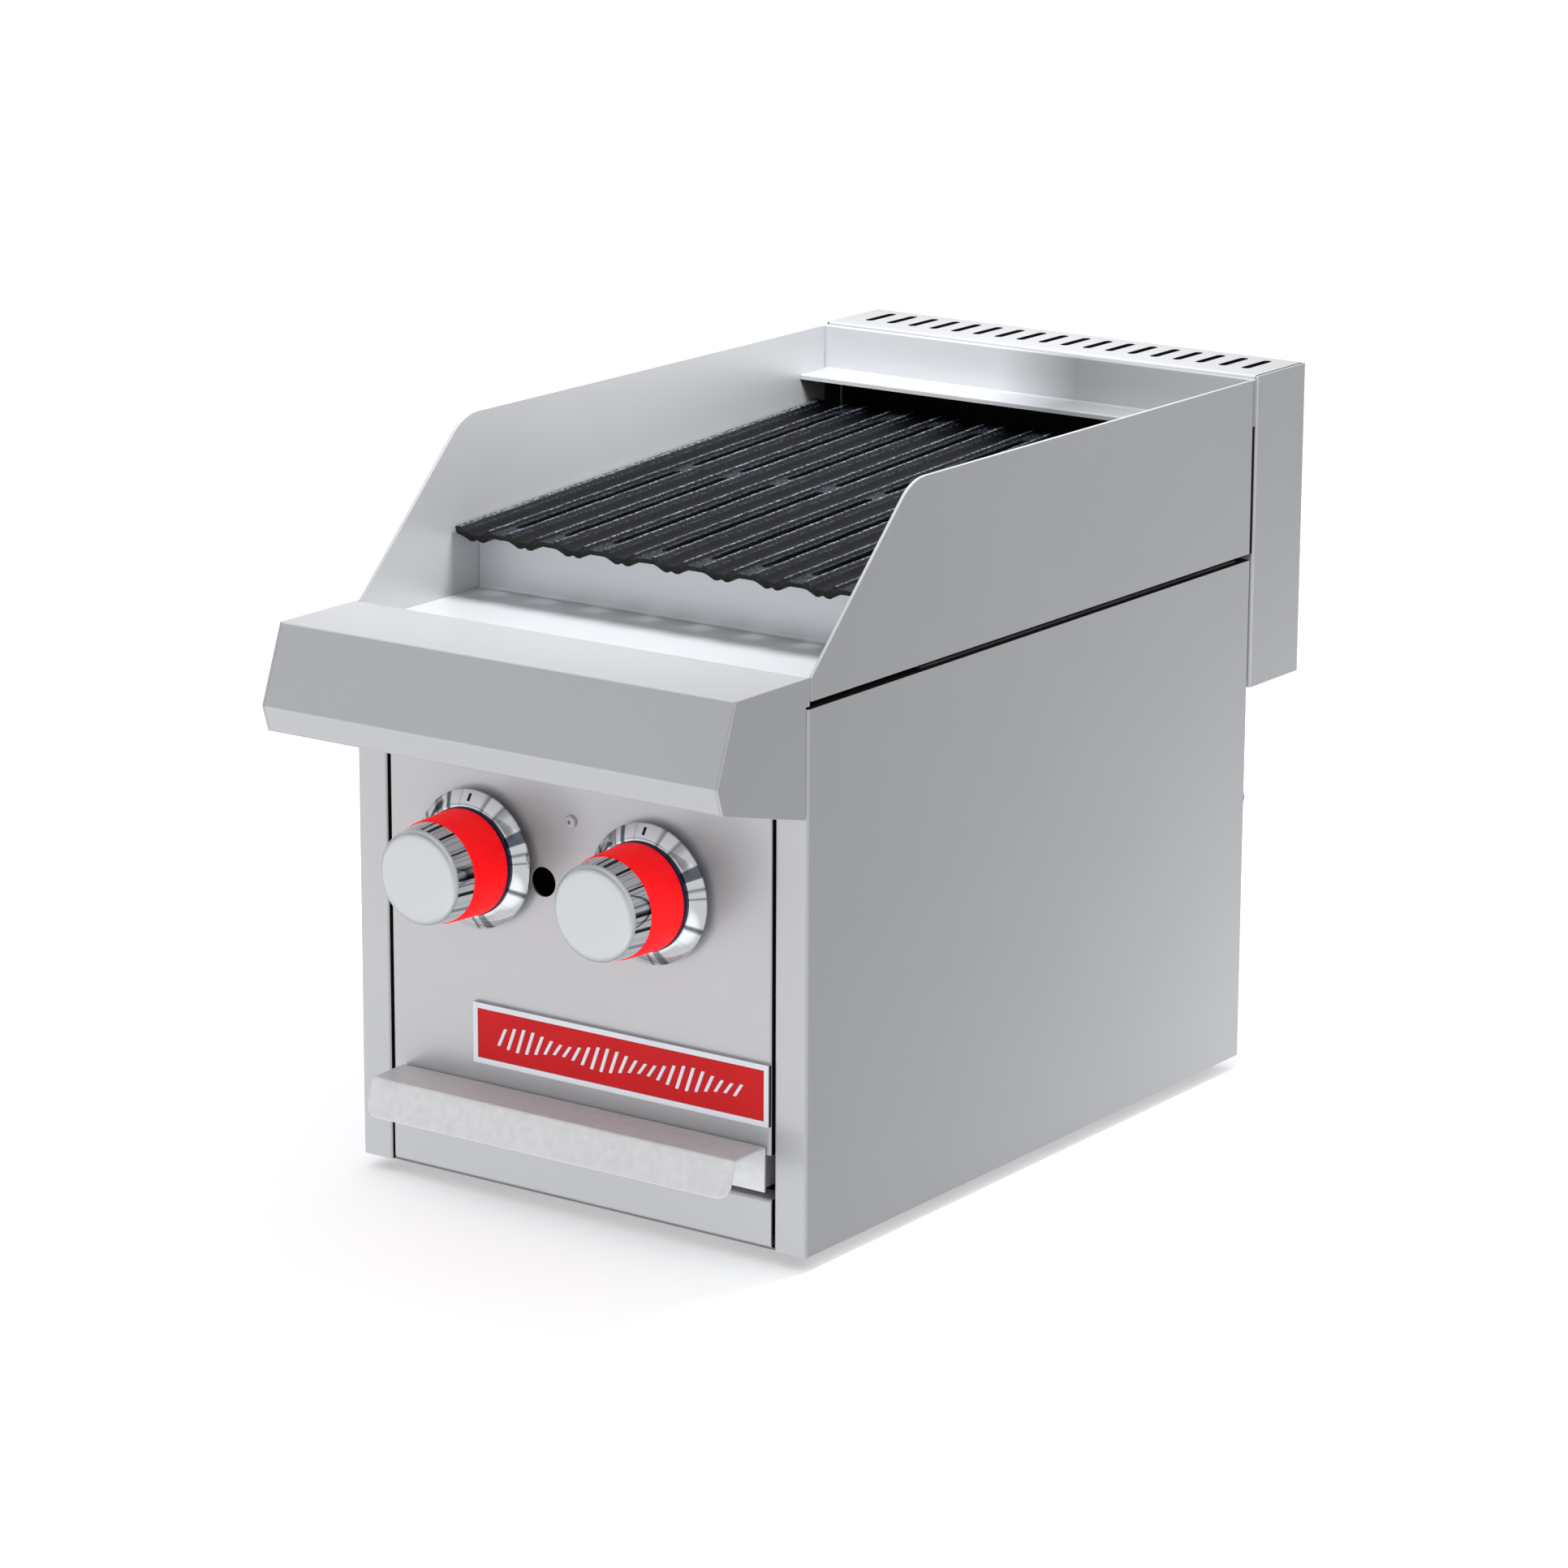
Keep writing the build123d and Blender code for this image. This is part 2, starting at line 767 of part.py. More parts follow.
# ---------------------------------------------------------------- gas train
# Manifold: a pipe across the front, closed at its left end, with a socket for each valve
manifold_left = -104
manifold_right = 84
nipple_radius = 7
nipple_depth = 2
pilot_stub = 4.5
tap_radius = {x: nipple_radius for x in knob_x.values()}
tap_radius[pilot_x] = pilot_stub
with BuildPart() as gas_manifold:
    with BuildSketch(Plane.YZ.offset(manifold_left)):
        with Locations((pipe_y, pipe_z)):
            Circle(pipe_radius)
    extrude(amount=manifold_right - manifold_left)
    with BuildSketch(Plane.YZ.offset(manifold_left + pipe_wall)):
        with Locations((pipe_y, pipe_z)):
            Circle(pipe_bore)
    extrude(amount=manifold_right - manifold_left, mode=Mode.SUBTRACT)
    for x, radius in tap_radius.items():
        with BuildSketch(Plane.XY.offset(pipe_z)):
            with Locations((x, pipe_y)):
                Circle(radius + running)
        extrude(amount=2 * pipe_radius, mode=Mode.SUBTRACT)
gas_manifold.part.label = "gas_manifold"
export_step(gas_manifold.part, "parts/gas_manifold.step")

# Supply pipe: from the union round one bend and straight out through the rear panel,
# where its last stretch is turned down for the thread
supply_end = back + 20
supply_start = manifold_right + 0.3
supply_bend = 24
thread_radius = 10.35
thread_length = 16
with BuildPart() as supply_pipe:
    with BuildLine() as route:
        FilletPolyline(
            (supply_start, pipe_y, pipe_z),
            (supply_x, pipe_y, pipe_z),
            (supply_x, supply_end - thread_length, pipe_z),
            radius=supply_bend,
        )
    with BuildSketch(Plane.YZ.offset(supply_start)):
        with Locations((pipe_y, pipe_z)):
            Circle(pipe_radius)
            Circle(pipe_bore, mode=Mode.SUBTRACT)
    sweep(path=route.wires()[0])
    with BuildSketch(along_y(supply_x, supply_end - thread_length, pipe_z)):
        Circle(thread_radius)
        Circle(pipe_bore, mode=Mode.SUBTRACT)
    extrude(amount=thread_length)
supply_pipe.part.label = "supply_pipe"
export_step(supply_pipe.part, "parts/supply_pipe.step")

# Union: a hexagon nut over the joint between manifold and supply pipe
union_length = 16
with BuildPart() as pipe_union:
    with BuildSketch(Plane.YZ.offset(manifold_right - union_length / 2)):
        with Locations((pipe_y, pipe_z)):
            RegularPolygon(14.2, 6)
            Circle(pipe_radius + running, mode=Mode.SUBTRACT)
    extrude(amount=union_length)
pipe_union.part.label = "pipe_union"
export_step(pipe_union.part, "parts/pipe_union.step")

# Valve body: a brass barrel with a bore for the plug, an outlet boss above it and an
# inlet nipple that stands in the manifold
valve_front = front + 9
valve_wall = 7
valve_back = front + 56
bore_back = front + 49
barrel_radius = 13
plug_radius = 8
stem_radius = 4
boss_radius = 7
boss_start = front + 36
for side, x in knob_x.items():
    with BuildPart() as valve_body:
        with BuildSketch(along_y(x, valve_front, knob_z)):
            Circle(barrel_radius)
        extrude(amount=valve_back - valve_front)
        with BuildSketch(along_y(x, boss_start, burner_z)):
            Circle(boss_radius)
        extrude(amount=valve_back - boss_start)
        with BuildSketch(Plane.XY.offset(pipe_z + pipe_radius - nipple_depth)):
            with Locations((x, pipe_y)):
                Circle(nipple_radius)
        extrude(amount=knob_z - pipe_z - pipe_radius)
        with BuildSketch(along_y(x, valve_front + valve_wall, knob_z)):
            Circle(plug_radius)
        extrude(amount=bore_back - valve_front - valve_wall, mode=Mode.SUBTRACT)
        with BuildSketch(along_y(x, valve_front, knob_z)):
            Circle(stem_radius + running)
        extrude(amount=valve_wall, mode=Mode.SUBTRACT)
    valve_body.part.label = f"valve_body_{side}"
    export_step(valve_body.part, f"parts/valve_body_{side}.step")

# Valve plug: turns in the body's bore, and the stem slides in its blind hole
plug_front = valve_front + valve_wall + 4
plug_back = bore_back - 2
plug_hole = 20
for side, x in knob_x.items():
    with BuildPart() as valve_plug:
        with BuildSketch(along_y(x, plug_front, knob_z)):
            Circle(plug_radius - running)
        extrude(amount=plug_back - plug_front)
        with BuildSketch(along_y(x, plug_front, knob_z)):
            Circle(stem_radius + running)
        extrude(amount=plug_hole, mode=Mode.SUBTRACT)
        with BuildSketch(Plane.XY.offset(knob_z - plug_radius)):
            with Locations((x, plug_back - 3)):
                Circle(1.5)
        extrude(amount=2 * plug_radius, mode=Mode.SUBTRACT)
    valve_plug.part.label = f"valve_plug_{side}"
    export_step(valve_plug.part, f"parts/valve_plug_{side}.step")

# Valve stem: a round rod from inside the plug to inside the knob
stem_front = front - 36
stem_back = plug_front + plug_hole - 5
for side, x in knob_x.items():
    with BuildPart() as valve_stem:
        with BuildSketch(along_y(x, stem_front, knob_z)):
            Circle(stem_radius)
        extrude(amount=stem_back - stem_front)
        chamfer(valve_stem.edges().filter_by(GeomType.CIRCLE), 0.5)
    valve_stem.part.label = f"valve_stem_{side}"
    export_step(valve_stem.part, f"parts/valve_stem_{side}.step")

# Orifice: a hexagon brass jet on the outlet boss, pointing into the burner's neck
jet_length = 13
jet_bore = 0.8
for side, x in knob_x.items():
    with BuildPart() as orifice:
        with BuildSketch(along_y(x, valve_back, burner_z)):
            RegularPolygon(6.3, 6)
        extrude(amount=jet_length - 4)
        with BuildSketch(along_y(x, valve_back, burner_z)):
            Circle(4)
        extrude(amount=jet_length)
        with BuildSketch(along_y(x, valve_back, burner_z)):
            Circle(jet_bore)
        extrude(amount=jet_length, mode=Mode.SUBTRACT)
    orifice.part.label = f"orifice_{side}"
    export_step(orifice.part, f"parts/orifice_{side}.step")

# Pilot valve: a small block on the manifold, behind the lighting hole
pilot_half = 7
pilot_front = front + 22
pilot_z = knob_z - 4
pilot_depth = 22
pilot_screw_radius = 3
with BuildPart() as pilot_valve:
    with BuildSketch(along_y(pilot_x, pilot_front, pilot_z)):
        RectangleRounded(2 * pilot_half, 2 * pilot_half, 1)
    extrude(amount=pilot_depth)
    with BuildSketch(Plane.XY.offset(pipe_z + pipe_radius - nipple_depth)):
        with Locations((pilot_x, pipe_y)):
            Circle(pilot_stub)
    extrude(amount=pilot_z - pipe_z - pipe_radius - pilot_half + nipple_depth + 1)
    with BuildSketch(along_y(pilot_x, pilot_front, pilot_z)):
        Circle(pilot_screw_radius)
    extrude(amount=10, mode=Mode.SUBTRACT)
pilot_valve.part.label = "pilot_valve"
export_step(pilot_valve.part, "parts/pilot_valve.step")

# Pilot screw: a slotted adjusting screw that turns in the pilot valve
with BuildPart() as pilot_screw:
    with BuildSketch(along_y(pilot_x, pilot_front - 6, pilot_z)):
        Circle(pilot_screw_radius - running)
    extrude(amount=14)
    with BuildSketch(along_y(pilot_x, pilot_front - 6, pilot_z)):
        Circle(pilot_screw_radius + 1.2)
    extrude(amount=4)
    with BuildSketch(along_y(pilot_x, pilot_front - 6, pilot_z)):
        Rectangle(12, 1)
    extrude(amount=1.5, mode=Mode.SUBTRACT)
pilot_screw.part.label = "pilot_screw"
export_step(pilot_screw.part, "parts/pilot_screw.step")

# Pilot tube: up from the pilot valve and back into the firebox, ending in a small burner tip
pilot_rise_y = pilot_front + pilot_depth - 8
pilot_tube_end = front + 150
tip_length = 14
tip_radius = 4
with BuildPart() as pilot_tube:
    with BuildLine() as route:
        FilletPolyline(
            (pilot_x, pilot_rise_y, pilot_z + pilot_half),
            (pilot_x, pilot_rise_y, pilot_tube_z),
            (pilot_x, pilot_tube_end, pilot_tube_z),
            radius=10,
        )
    with BuildSketch(Plane.XY.offset(pilot_z + pilot_half)):
        with Locations((pilot_x, pilot_rise_y)):
            Circle(pilot_tube_radius)
    sweep(path=route.wires()[0])
    with BuildSketch(along_y(pilot_x, pilot_tube_end, pilot_tube_z)):
        Circle(tip_radius)
    extrude(amount=tip_length)
pilot_tube.part.label = "pilot_tube"
export_step(pilot_tube.part, "parts/pilot_tube.step")

# ---------------------------------------------------------------- knobs
# Each knob is pushed on its stem: a chrome skirt, a red grip ring and a chrome cap
skirt_radius = 38.5
skirt_rim = front - 6.3
skirt_edge = 1.6
skirt_inner = 31.5
skirt_face = front - 11
collar_radius = 30
collar_face = front - 13
grip_back_radius = 29.6
grip_front_radius = 28.2
grip_front = front - 39
cap_back_radius = 27.6
cap_front_radius = 26
cap_face = front - 54
cap_round = 3
knob_wall = 3
for side, x in knob_x.items():
    axis = Axis((x, 0, knob_z), (0, 1, 0))
    with BuildPart() as knob_skirt:
        with BuildSketch(Plane.YZ.offset(x)):
            with BuildLine():
                Polyline(
                    (skirt_rim + skirt_edge, knob_z + stem_radius + running),
                    (skirt_rim + skirt_edge, knob_z + skirt_radius),
                    (skirt_rim, knob_z + skirt_radius),
                    (skirt_face, knob_z + skirt_inner),
                    (collar_face + 0.6, knob_z + collar_radius),
                    (collar_face, knob_z + collar_radius - 0.6),
                    (collar_face, knob_z + stem_radius + running),
                    close=True,
                )
            make_face()
        revolve(axis=axis)
    knob_skirt.part.label = f"knob_skirt_{side}"
    export_step(knob_skirt.part, f"parts/knob_skirt_{side}.step")

    with BuildPart() as knob_grip:
        with BuildSketch(Plane.YZ.offset(x)):
            with BuildLine():
                Polyline(
                    (collar_face, knob_z + stem_radius + running),
                    (collar_face, knob_z + grip_back_radius),
                    (grip_front, knob_z + grip_front_radius),
                    (grip_front, knob_z + cap_back_radius - knob_wall),
                    (stem_front + 8, knob_z + cap_back_radius - knob_wall),
                    (stem_front + 8, knob_z + stem_radius + running),
                    close=True,
                )
            make_face()
        revolve(axis=axis)
    knob_grip.part.label = f"knob_grip_{side}"
    export_step(knob_grip.part, f"parts/knob_grip_{side}.step")

    with BuildPart() as knob_cap:
        with BuildSketch(along_y(x, cap_face, knob_z)):
            Circle(cap_front_radius)
        with BuildSketch(along_y(x, grip_front, knob_z)):
            Circle(cap_back_radius)
        loft()
        fillet(knob_cap.edges().filter_by(GeomType.CIRCLE).sort_by(Axis.Y)[0], cap_round)
        with BuildSketch(along_y(x, grip_front, knob_z)):
            Circle(cap_back_radius - knob_wall)
        extrude(amount=cap_face - grip_front + knob_wall, mode=Mode.SUBTRACT)
    knob_cap.part.label = f"knob_cap_{side}"
    export_step(knob_cap.part, f"parts/knob_cap_{side}.step")

# ---------------------------------------------------------------- nameplate
plate_left = -69.5
plate_right = 127.6
plate_low = base + 68.5
plate_high = base + 102.5
plate_depth = 2.5
frame_width = 3
field_depth = 1
plate_centre = ((plate_left + plate_right) / 2, (plate_low + plate_high) / 2)
field_width = plate_right - plate_left - 2 * frame_width
field_height = plate_high - plate_low - 2 * frame_width
with BuildPart() as nameplate_frame:
    with BuildSketch(Plane.XZ.offset(-front)):
        with Locations(plate_centre):
            Rectangle(plate_right - plate_left, plate_high - plate_low)
    extrude(amount=plate_depth)
    with BuildSketch(Plane.XZ.offset(plate_depth - front)):
        with Locations(plate_centre):
            Rectangle(field_width, field_height)
    extrude(amount=-field_depth, mode=Mode.SUBTRACT)
nameplate_frame.part.label = "nameplate_frame"
export_step(nameplate_frame.part, "parts/nameplate_frame.step")

with BuildPart() as nameplate_field:
    with BuildSketch(Plane.XZ.offset(plate_depth - field_depth - front)):
        with Locations(plate_centre):
            Rectangle(field_width - 0.2, field_height - 0.2)
    extrude(amount=field_depth - 0.4)
nameplate_field.part.label = "nameplate_field"
export_step(nameplate_field.part, "parts/nameplate_field.step")

# ---------------------------------------------------------------- drip tray
# One pan with its front plate folded forward into a handle that turns down at the edge
pan_depth = 412
pan_side = tray_half - 4.1
plate_gap = 0.5
plate_back = front - plate_gap
plate_front = plate_back - sheet
handle_lean = 8.5
handle_corner = 8
with BuildPart() as drip_tray:
    with BuildSketch(Plane.YZ.offset(tray_x - tray_half)):
        add(
            folded(
                [
                    (plate_back, tray_floor),
                    (plate_back, plate_top),
                    (plate_back - handle_depth - sheet, plate_top - 0.8),
                    (plate_back - handle_depth - handle_lean, plate_top - handle_drop),
                ],
                side=Side.LEFT,
            )
        )
    extrude(amount=2 * tray_half)
    corners = (
        drip_tray.edges()
        .filter_by(lambda e: e.center().Y < plate_back - handle_depth and e.length < 2 * sheet)
        .sort_by(Axis.Z)[:2]
    )
    fillet(corners, handle_corner)
    with BuildSketch(Plane.XY.offset(tray_floor)):
        with Locations((tray_x, plate_back + pan_depth / 2)):
            Rectangle(2 * pan_side, pan_depth)
    extrude(amount=tray_top - tray_floor)
    with BuildSketch(Plane.XY.offset(tray_floor + thin_sheet)):
        with Locations((tray_x, plate_back + pan_depth / 2)):
            Rectangle(2 * (pan_side - thin_sheet), pan_depth - 2 * thin_sheet)
    extrude(amount=tray_top, mode=Mode.SUBTRACT)
drip_tray.part.label = "drip_tray"
export_step(drip_tray.part, "parts/drip_tray.step")

# Runners: inverted channels on the bottom pan that carry the tray
runner_x = 96
runner_width = 20
runner_front = front + 22
runner_back = back - 14
for side, sign in sides:
    with BuildPart() as tray_runner:
        with BuildSketch(Plane.XZ.offset(-runner_front)):
            with Locations((sign * runner_x, 0)):
                add(
                    folded(
                        [
                            (-runner_width / 2, base + thin_sheet),
                            (-runner_width / 2, tray_floor - lift_gap),
                            (runner_width / 2, tray_floor - lift_gap),
                            (runner_width / 2, base + thin_sheet),
                        ],
                        thin_sheet,
                        Side.RIGHT,
                    )
                )
        extrude(amount=-(runner_back - runner_front))
    tray_runner.part.label = f"tray_runner_{side}"
    export_step(tray_runner.part, f"parts/tray_runner_{side}.step")

# ---------------------------------------------------------------- feet and rear screws
foot_radius = 16
foot_x = 100
foot_inset = 48
with BuildPart() as feet:
    with BuildSketch(Plane.XY):
        with Locations((0, (front + back) / 2)):
            with GridLocations(2 * foot_x, body_depth - 2 * foot_inset, 2, 2):
                Circle(foot_radius - 1.5)
    extrude(amount=foot_height, taper=-9)
feet.part.label = "feet"
export_step(feet.part, "parts/feet.step")

rear_screw_x = 143.5
rear_screw_rows = 3
rear_screw_pitch = 85
rear_screw_middle = base + 128.5
with BuildPart() as rear_screws:
    with BuildSketch(Plane.XZ.offset(-back)):
        with Locations((0, rear_screw_middle)):
            with GridLocations(2 * rear_screw_x, rear_screw_pitch, 2, rear_screw_rows):
                Circle(head_radius)
    extrude(amount=-head_height)
rear_screws.part.label = "rear_screws"
export_step(rear_screws.part, "parts/rear_screws.step")
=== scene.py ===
import bpy
import json
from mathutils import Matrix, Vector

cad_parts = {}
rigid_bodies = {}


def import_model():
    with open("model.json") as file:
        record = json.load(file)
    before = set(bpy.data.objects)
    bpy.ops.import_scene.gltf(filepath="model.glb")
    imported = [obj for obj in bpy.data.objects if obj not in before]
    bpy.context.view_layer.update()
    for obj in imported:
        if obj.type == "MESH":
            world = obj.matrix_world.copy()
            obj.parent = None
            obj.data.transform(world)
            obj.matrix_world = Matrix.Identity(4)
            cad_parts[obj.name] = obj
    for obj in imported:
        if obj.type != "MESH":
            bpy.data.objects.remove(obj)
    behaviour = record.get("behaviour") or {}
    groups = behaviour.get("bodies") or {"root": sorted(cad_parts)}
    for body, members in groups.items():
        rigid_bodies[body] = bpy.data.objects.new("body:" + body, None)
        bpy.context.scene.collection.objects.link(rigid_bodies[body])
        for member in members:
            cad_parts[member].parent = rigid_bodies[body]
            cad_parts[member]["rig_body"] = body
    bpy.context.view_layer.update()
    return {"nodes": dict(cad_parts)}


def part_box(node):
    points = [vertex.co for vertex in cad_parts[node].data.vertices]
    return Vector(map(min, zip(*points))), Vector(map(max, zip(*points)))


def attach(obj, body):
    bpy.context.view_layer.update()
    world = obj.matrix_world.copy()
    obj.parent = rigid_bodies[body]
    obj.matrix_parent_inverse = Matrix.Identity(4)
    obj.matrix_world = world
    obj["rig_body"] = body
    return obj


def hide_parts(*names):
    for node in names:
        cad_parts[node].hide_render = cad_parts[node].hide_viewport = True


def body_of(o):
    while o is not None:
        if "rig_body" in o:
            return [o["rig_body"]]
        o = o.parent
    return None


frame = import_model()

# %% [markdown]
# One millimetre is named once, so that every size below can be read in the units a sheet-metal
# shop would use.
# %% Modules and units
import json
import math

import bmesh
import bpy
from mathutils import Matrix, Vector

MM = 0.001
scene = bpy.context.scene
print("one metre is", round(1 / MM), "millimetres")


# %% [markdown]
# Colours are written as the sRGB hex values that a colour picker shows, and one function turns
# them into the linear numbers that light works in.
# %% Colour helper
def linear(hex_code):
    """An sRGB hex colour as linear red, green, blue and a full alpha."""
    parts = [int(hex_code[i : i + 2], 16) / 255 for i in (1, 3, 5)]
    flat = [c / 12.92 if c <= 0.04045 else ((c + 0.055) / 1.055) ** 2.4 for c in parts]
    return (*flat, 1.0)


print("mid grey #808080 is", round(linear("#808080")[0], 3), "in linear light")


# %% [markdown]
# Shader trees and Geometry Nodes trees are both graphs of nodes. One small function adds a node,
# sets its options, and fills its sockets with plain values or with links from other nodes.
# %% Node helper
def node(tree, kind, sockets=None, **options):
    """Adds one node. Socket values that are themselves sockets become links."""
    made = tree.nodes.new(kind)
    for name, value in options.items():
        setattr(made, name, value)
    for name, value in (sockets or {}).items():
        if isinstance(value, bpy.types.NodeSocket):
            tree.links.new(value, made.inputs[name])
        else:
            made.inputs[name].default_value = value
    return made


# %% [markdown]
# Every finish ends in the same shader, so starting one takes a name and the numbers that stay
# the same all over its surface. What varies is linked afterwards.
# %% Start a finish
def start_finish(name, colour, metallic, roughness, **extra):
    """A new material with one Principled shader. Returns the material, its tree and the shader."""
    made = bpy.data.materials.new(name)
    made.use_nodes = True
    tree = made.node_tree
    tree.nodes.clear()
    shader = node(tree, "ShaderNodeBsdfPrincipled")
    shader.inputs["Base Color"].default_value = linear(colour)
    shader.inputs["Metallic"].default_value = metallic
    shader.inputs["Roughness"].default_value = roughness
    for socket, value in extra.items():
        shader.inputs[socket.replace("_", " ")].default_value = value
    node(tree, "ShaderNodeOutputMaterial", {"Surface": shader.outputs[0]})
    return made, tree, shader


# %% [markdown]
# No real surface is even. What varies over it here comes from noise in the piece's own
# coordinates, so it neither slides nor swims when the piece moves. The noise is stretched to the
# grain's real size in millimetres.
# %% Noise with a real size
def stretched_noise(tree, size_mm, detail=2.0, seed=0.0):
    """A 0 to 1 value that varies over size_mm (x, y, z), fixed to the piece's coordinates."""
    where = node(tree, "ShaderNodeTexCoord")
    scaled = node(tree, "ShaderNodeMapping", {"Vector": where.outputs["Object"]})
    scaled.inputs["Scale"].default_value = [1 / (s * MM) for s in size_mm]
    scaled.inputs["Location"].default_value = (seed, seed, seed)
    sockets = {"Vector": scaled.outputs[0], "Scale": 1.0, "Detail": detail}
    return node(tree, "ShaderNodeTexNoise", sockets).outputs["Fac"]


# %% [markdown]
# A noise value can drive a finish in four ways: as a number between two limits, as a colour
# between two tones, as a colour from a row of stops, or as a height that tilts the light.
# %% What the noise drives
def between(tree, value, low, high):
    """Maps a 0 to 1 value onto low to high."""
    sockets = {"Value": value, "To Min": low, "To Max": high}
    return node(tree, "ShaderNodeMapRange", sockets).outputs[0]


def tint(tree, value, dark, light):
    """A colour between two hex colours, by a 0 to 1 value."""
    mix = node(tree, "ShaderNodeMix", data_type="RGBA")
    tree.links.new(value, mix.inputs["Factor"])
    mix.inputs["A"].default_value = linear(dark)
    mix.inputs["B"].default_value = linear(light)
    return mix.outputs["Result"]


def ramp(tree, value, stops):
    """A colour from a value, through stops of (place, hex colour)."""
    made = node(tree, "ShaderNodeValToRGB", {"Fac": value})
    bands = made.color_ramp.elements
    while len(bands) < len(stops):
        bands.new(0.5)
    for band, (place, colour) in zip(bands, stops):
        band.position, band.color = place, linear(colour)
    return made.outputs["Color"]


def bump(tree, value, depth_mm, shader, strength=1.0):
    """Lets a 0 to 1 value raise the surface by depth_mm."""
    sockets = {"Height": value, "Strength": strength, "Distance": depth_mm * MM}
    raised = node(tree, "ShaderNodeBump", sockets)
    tree.links.new(raised.outputs["Normal"], shader.inputs["Normal"])


# %% [markdown]
# The body is stainless steel sheet with a number 4 finish: a belt leaves fine lines one way,
# which blur reflections across them. The lines themselves are a tenth of a millimetre apart, too
# fine to show here, so they are drawn about a millimetre wide and kept faint. A second, larger
# noise stands for the slow waves and handling marks of thin sheet. A belted skin scatters part of
# the light like matt paint does, so the shader is only partly a mirror. The strip at the rear has
# its tone painted in soft upright bands from pale to grey: painted reflections of what stands
# round it.
# %% Brushed stainless steel
BELTED = 0.6
LINE_WIDTH, LINE_LENGTH, WAVE_SIZE = 0.9, 160, 60
HALF_WIDTH = 150


def brushed_stainless(name, colour, grain, roughness=0.42, contrast=0.05, bands=None):
    """Stainless sheet. grain is the axis, 0 to 2, of its belt lines. bands are painted tones by
    width.
    """
    made, tree, shader = start_finish(name, colour, BELTED, roughness)
    line = [LINE_WIDTH] * 3
    line[grain] = LINE_LENGTH
    lines = stretched_noise(tree, line, 3.0, grain)
    waves = stretched_noise(tree, [WAVE_SIZE] * 3, 2.0, 4.0)
    both = node(tree, "ShaderNodeMath", {0: lines, 1: waves}, operation="ADD").outputs[0]
    mean = node(tree, "ShaderNodeMath", {0: both, 1: 0.5}, operation="MULTIPLY").outputs[0]
    dullness = between(tree, mean, roughness - contrast, roughness + contrast)
    tree.links.new(dullness, shader.inputs["Roughness"])
    bump(tree, lines, 0.01, shader, 0.35)
    if bands:
        where = node(tree, "ShaderNodeTexCoord").outputs["Object"]
        across = node(tree, "ShaderNodeSeparateXYZ", {0: where}).outputs["X"]
        span = {"Value": across, "From Min": -HALF_WIDTH * MM, "From Max": HALF_WIDTH * MM}
        place = node(tree, "ShaderNodeMapRange", span).outputs[0]
        tree.links.new(ramp(tree, place, bands), shader.inputs["Base Color"])
    return made


# Tones across the rear strip, pale on the left and darker right of the middle: painted reflections.
REAR_PAINTED_REFLECTION_BANDS = (
    (0.0, "#D6D8DB"),
    (0.42, "#D2D4D7"),
    (0.60, "#96989B"),
    (0.68, "#A2A4A7"),
    (1.0, "#BEC0C3"),
)
finishes = {
    "steel_rear_painted_reflection": brushed_stainless("stainless_rear_strip_painted_reflection", "#D6D8DB", 0, bands=REAR_PAINTED_REFLECTION_BANDS),
    "steel_x": brushed_stainless("stainless_grain_across", "#C9CACC", 0),
    # A paler copy of the same steel for the trough: painted light that lifts its shaded inside.
    "steel_painted_lighter": brushed_stainless("stainless_grain_across_painted_lighter", "#E4E6E9", 0),
    "steel_y": brushed_stainless("stainless_grain_lengthwise", "#C9CACC", 1),
    "steel_z": brushed_stainless("stainless_grain_upright", "#C9CACC", 2),
}
print("stainless finishes:", len(finishes))


# %% [markdown]
# The knob skirts and caps are chromium plated: a mirror with a slightly cold tint. A mirror this
# small shows its surroundings as streaks, so pale and dark streaks are painted into the plate's
# tone: painted reflections of what a kitchen would put round it. They run straight out from the
# stem, so they follow a direction that each turned piece will carry as its "outward" attribute.
# The cap's face is chromium as well, but satin, so it shows one soft even grey.
# %% Chromium
DENT_SIZE, DENT_DEPTH = 24, 0.02


def chromium(name, colour, roughness, painted_reflection_streaks=0.0, dark="#3C4046"):
    """Chromium plate. The third argument is roughly how many dark painted reflections run round the
    stem's axis.
    """
    made, tree, shader = start_finish(name, colour, 1.0, roughness)
    dents = stretched_noise(tree, [DENT_SIZE] * 3, 0.0, 2.0)
    bump(tree, dents, DENT_DEPTH, shader, 0.3)
    if painted_reflection_streaks:
        outward = node(tree, "ShaderNodeAttribute", attribute_name="outward").outputs["Vector"]
        sockets = {"Vector": outward, "Scale": painted_reflection_streaks / 4, "Detail": 1.0}
        noise = node(tree, "ShaderNodeTexNoise", sockets).outputs["Fac"]
        # pale and dark stops: painted reflections in the plate's colour
        stops = ((0.36, dark), (0.40, colour), (0.54, colour), (0.58, "#8A8F96"), (0.63, colour))
        tree.links.new(ramp(tree, noise, stops), shader.inputs["Base Color"])
    return made


# The dark streaks in these two chromium finishes are painted reflections.
finishes["chrome"] = chromium("chromium_painted_reflections", "#F0F2F4", 0.05, 12, "#6A7078")
finishes["band_chrome_painted_reflections"] = chromium("chromium_band_painted_reflections", "#E4E7EA", 0.06, 30, "#24272B")
finishes["satin_chrome"] = chromium("satin_chromium", "#E0E3E4", 0.38)
print("chromium finishes: bright, bright band, satin")


# %% [markdown]
# The grip rings are phenolic plastic, moulded in a strong red. Its skin is a satin gloss with a
# fine grain, and a little darker in patches where hands polish it. A small emission makes it glow
# a brighter red than plain paint can: painted light, and the red enamel glows a little the same way.
# The nameplate's enamel, the knob's collar, the ink of its mark, the rubber feet and the near black
# of soot and painted shade in the flue and the seams are skins of the same kind: no metal, two close
# tones, and a grain.
# %% Mouldings, enamel, ink, rubber and soot
TONE_PATCH, SKIN_DEPTH = 18, 0.03


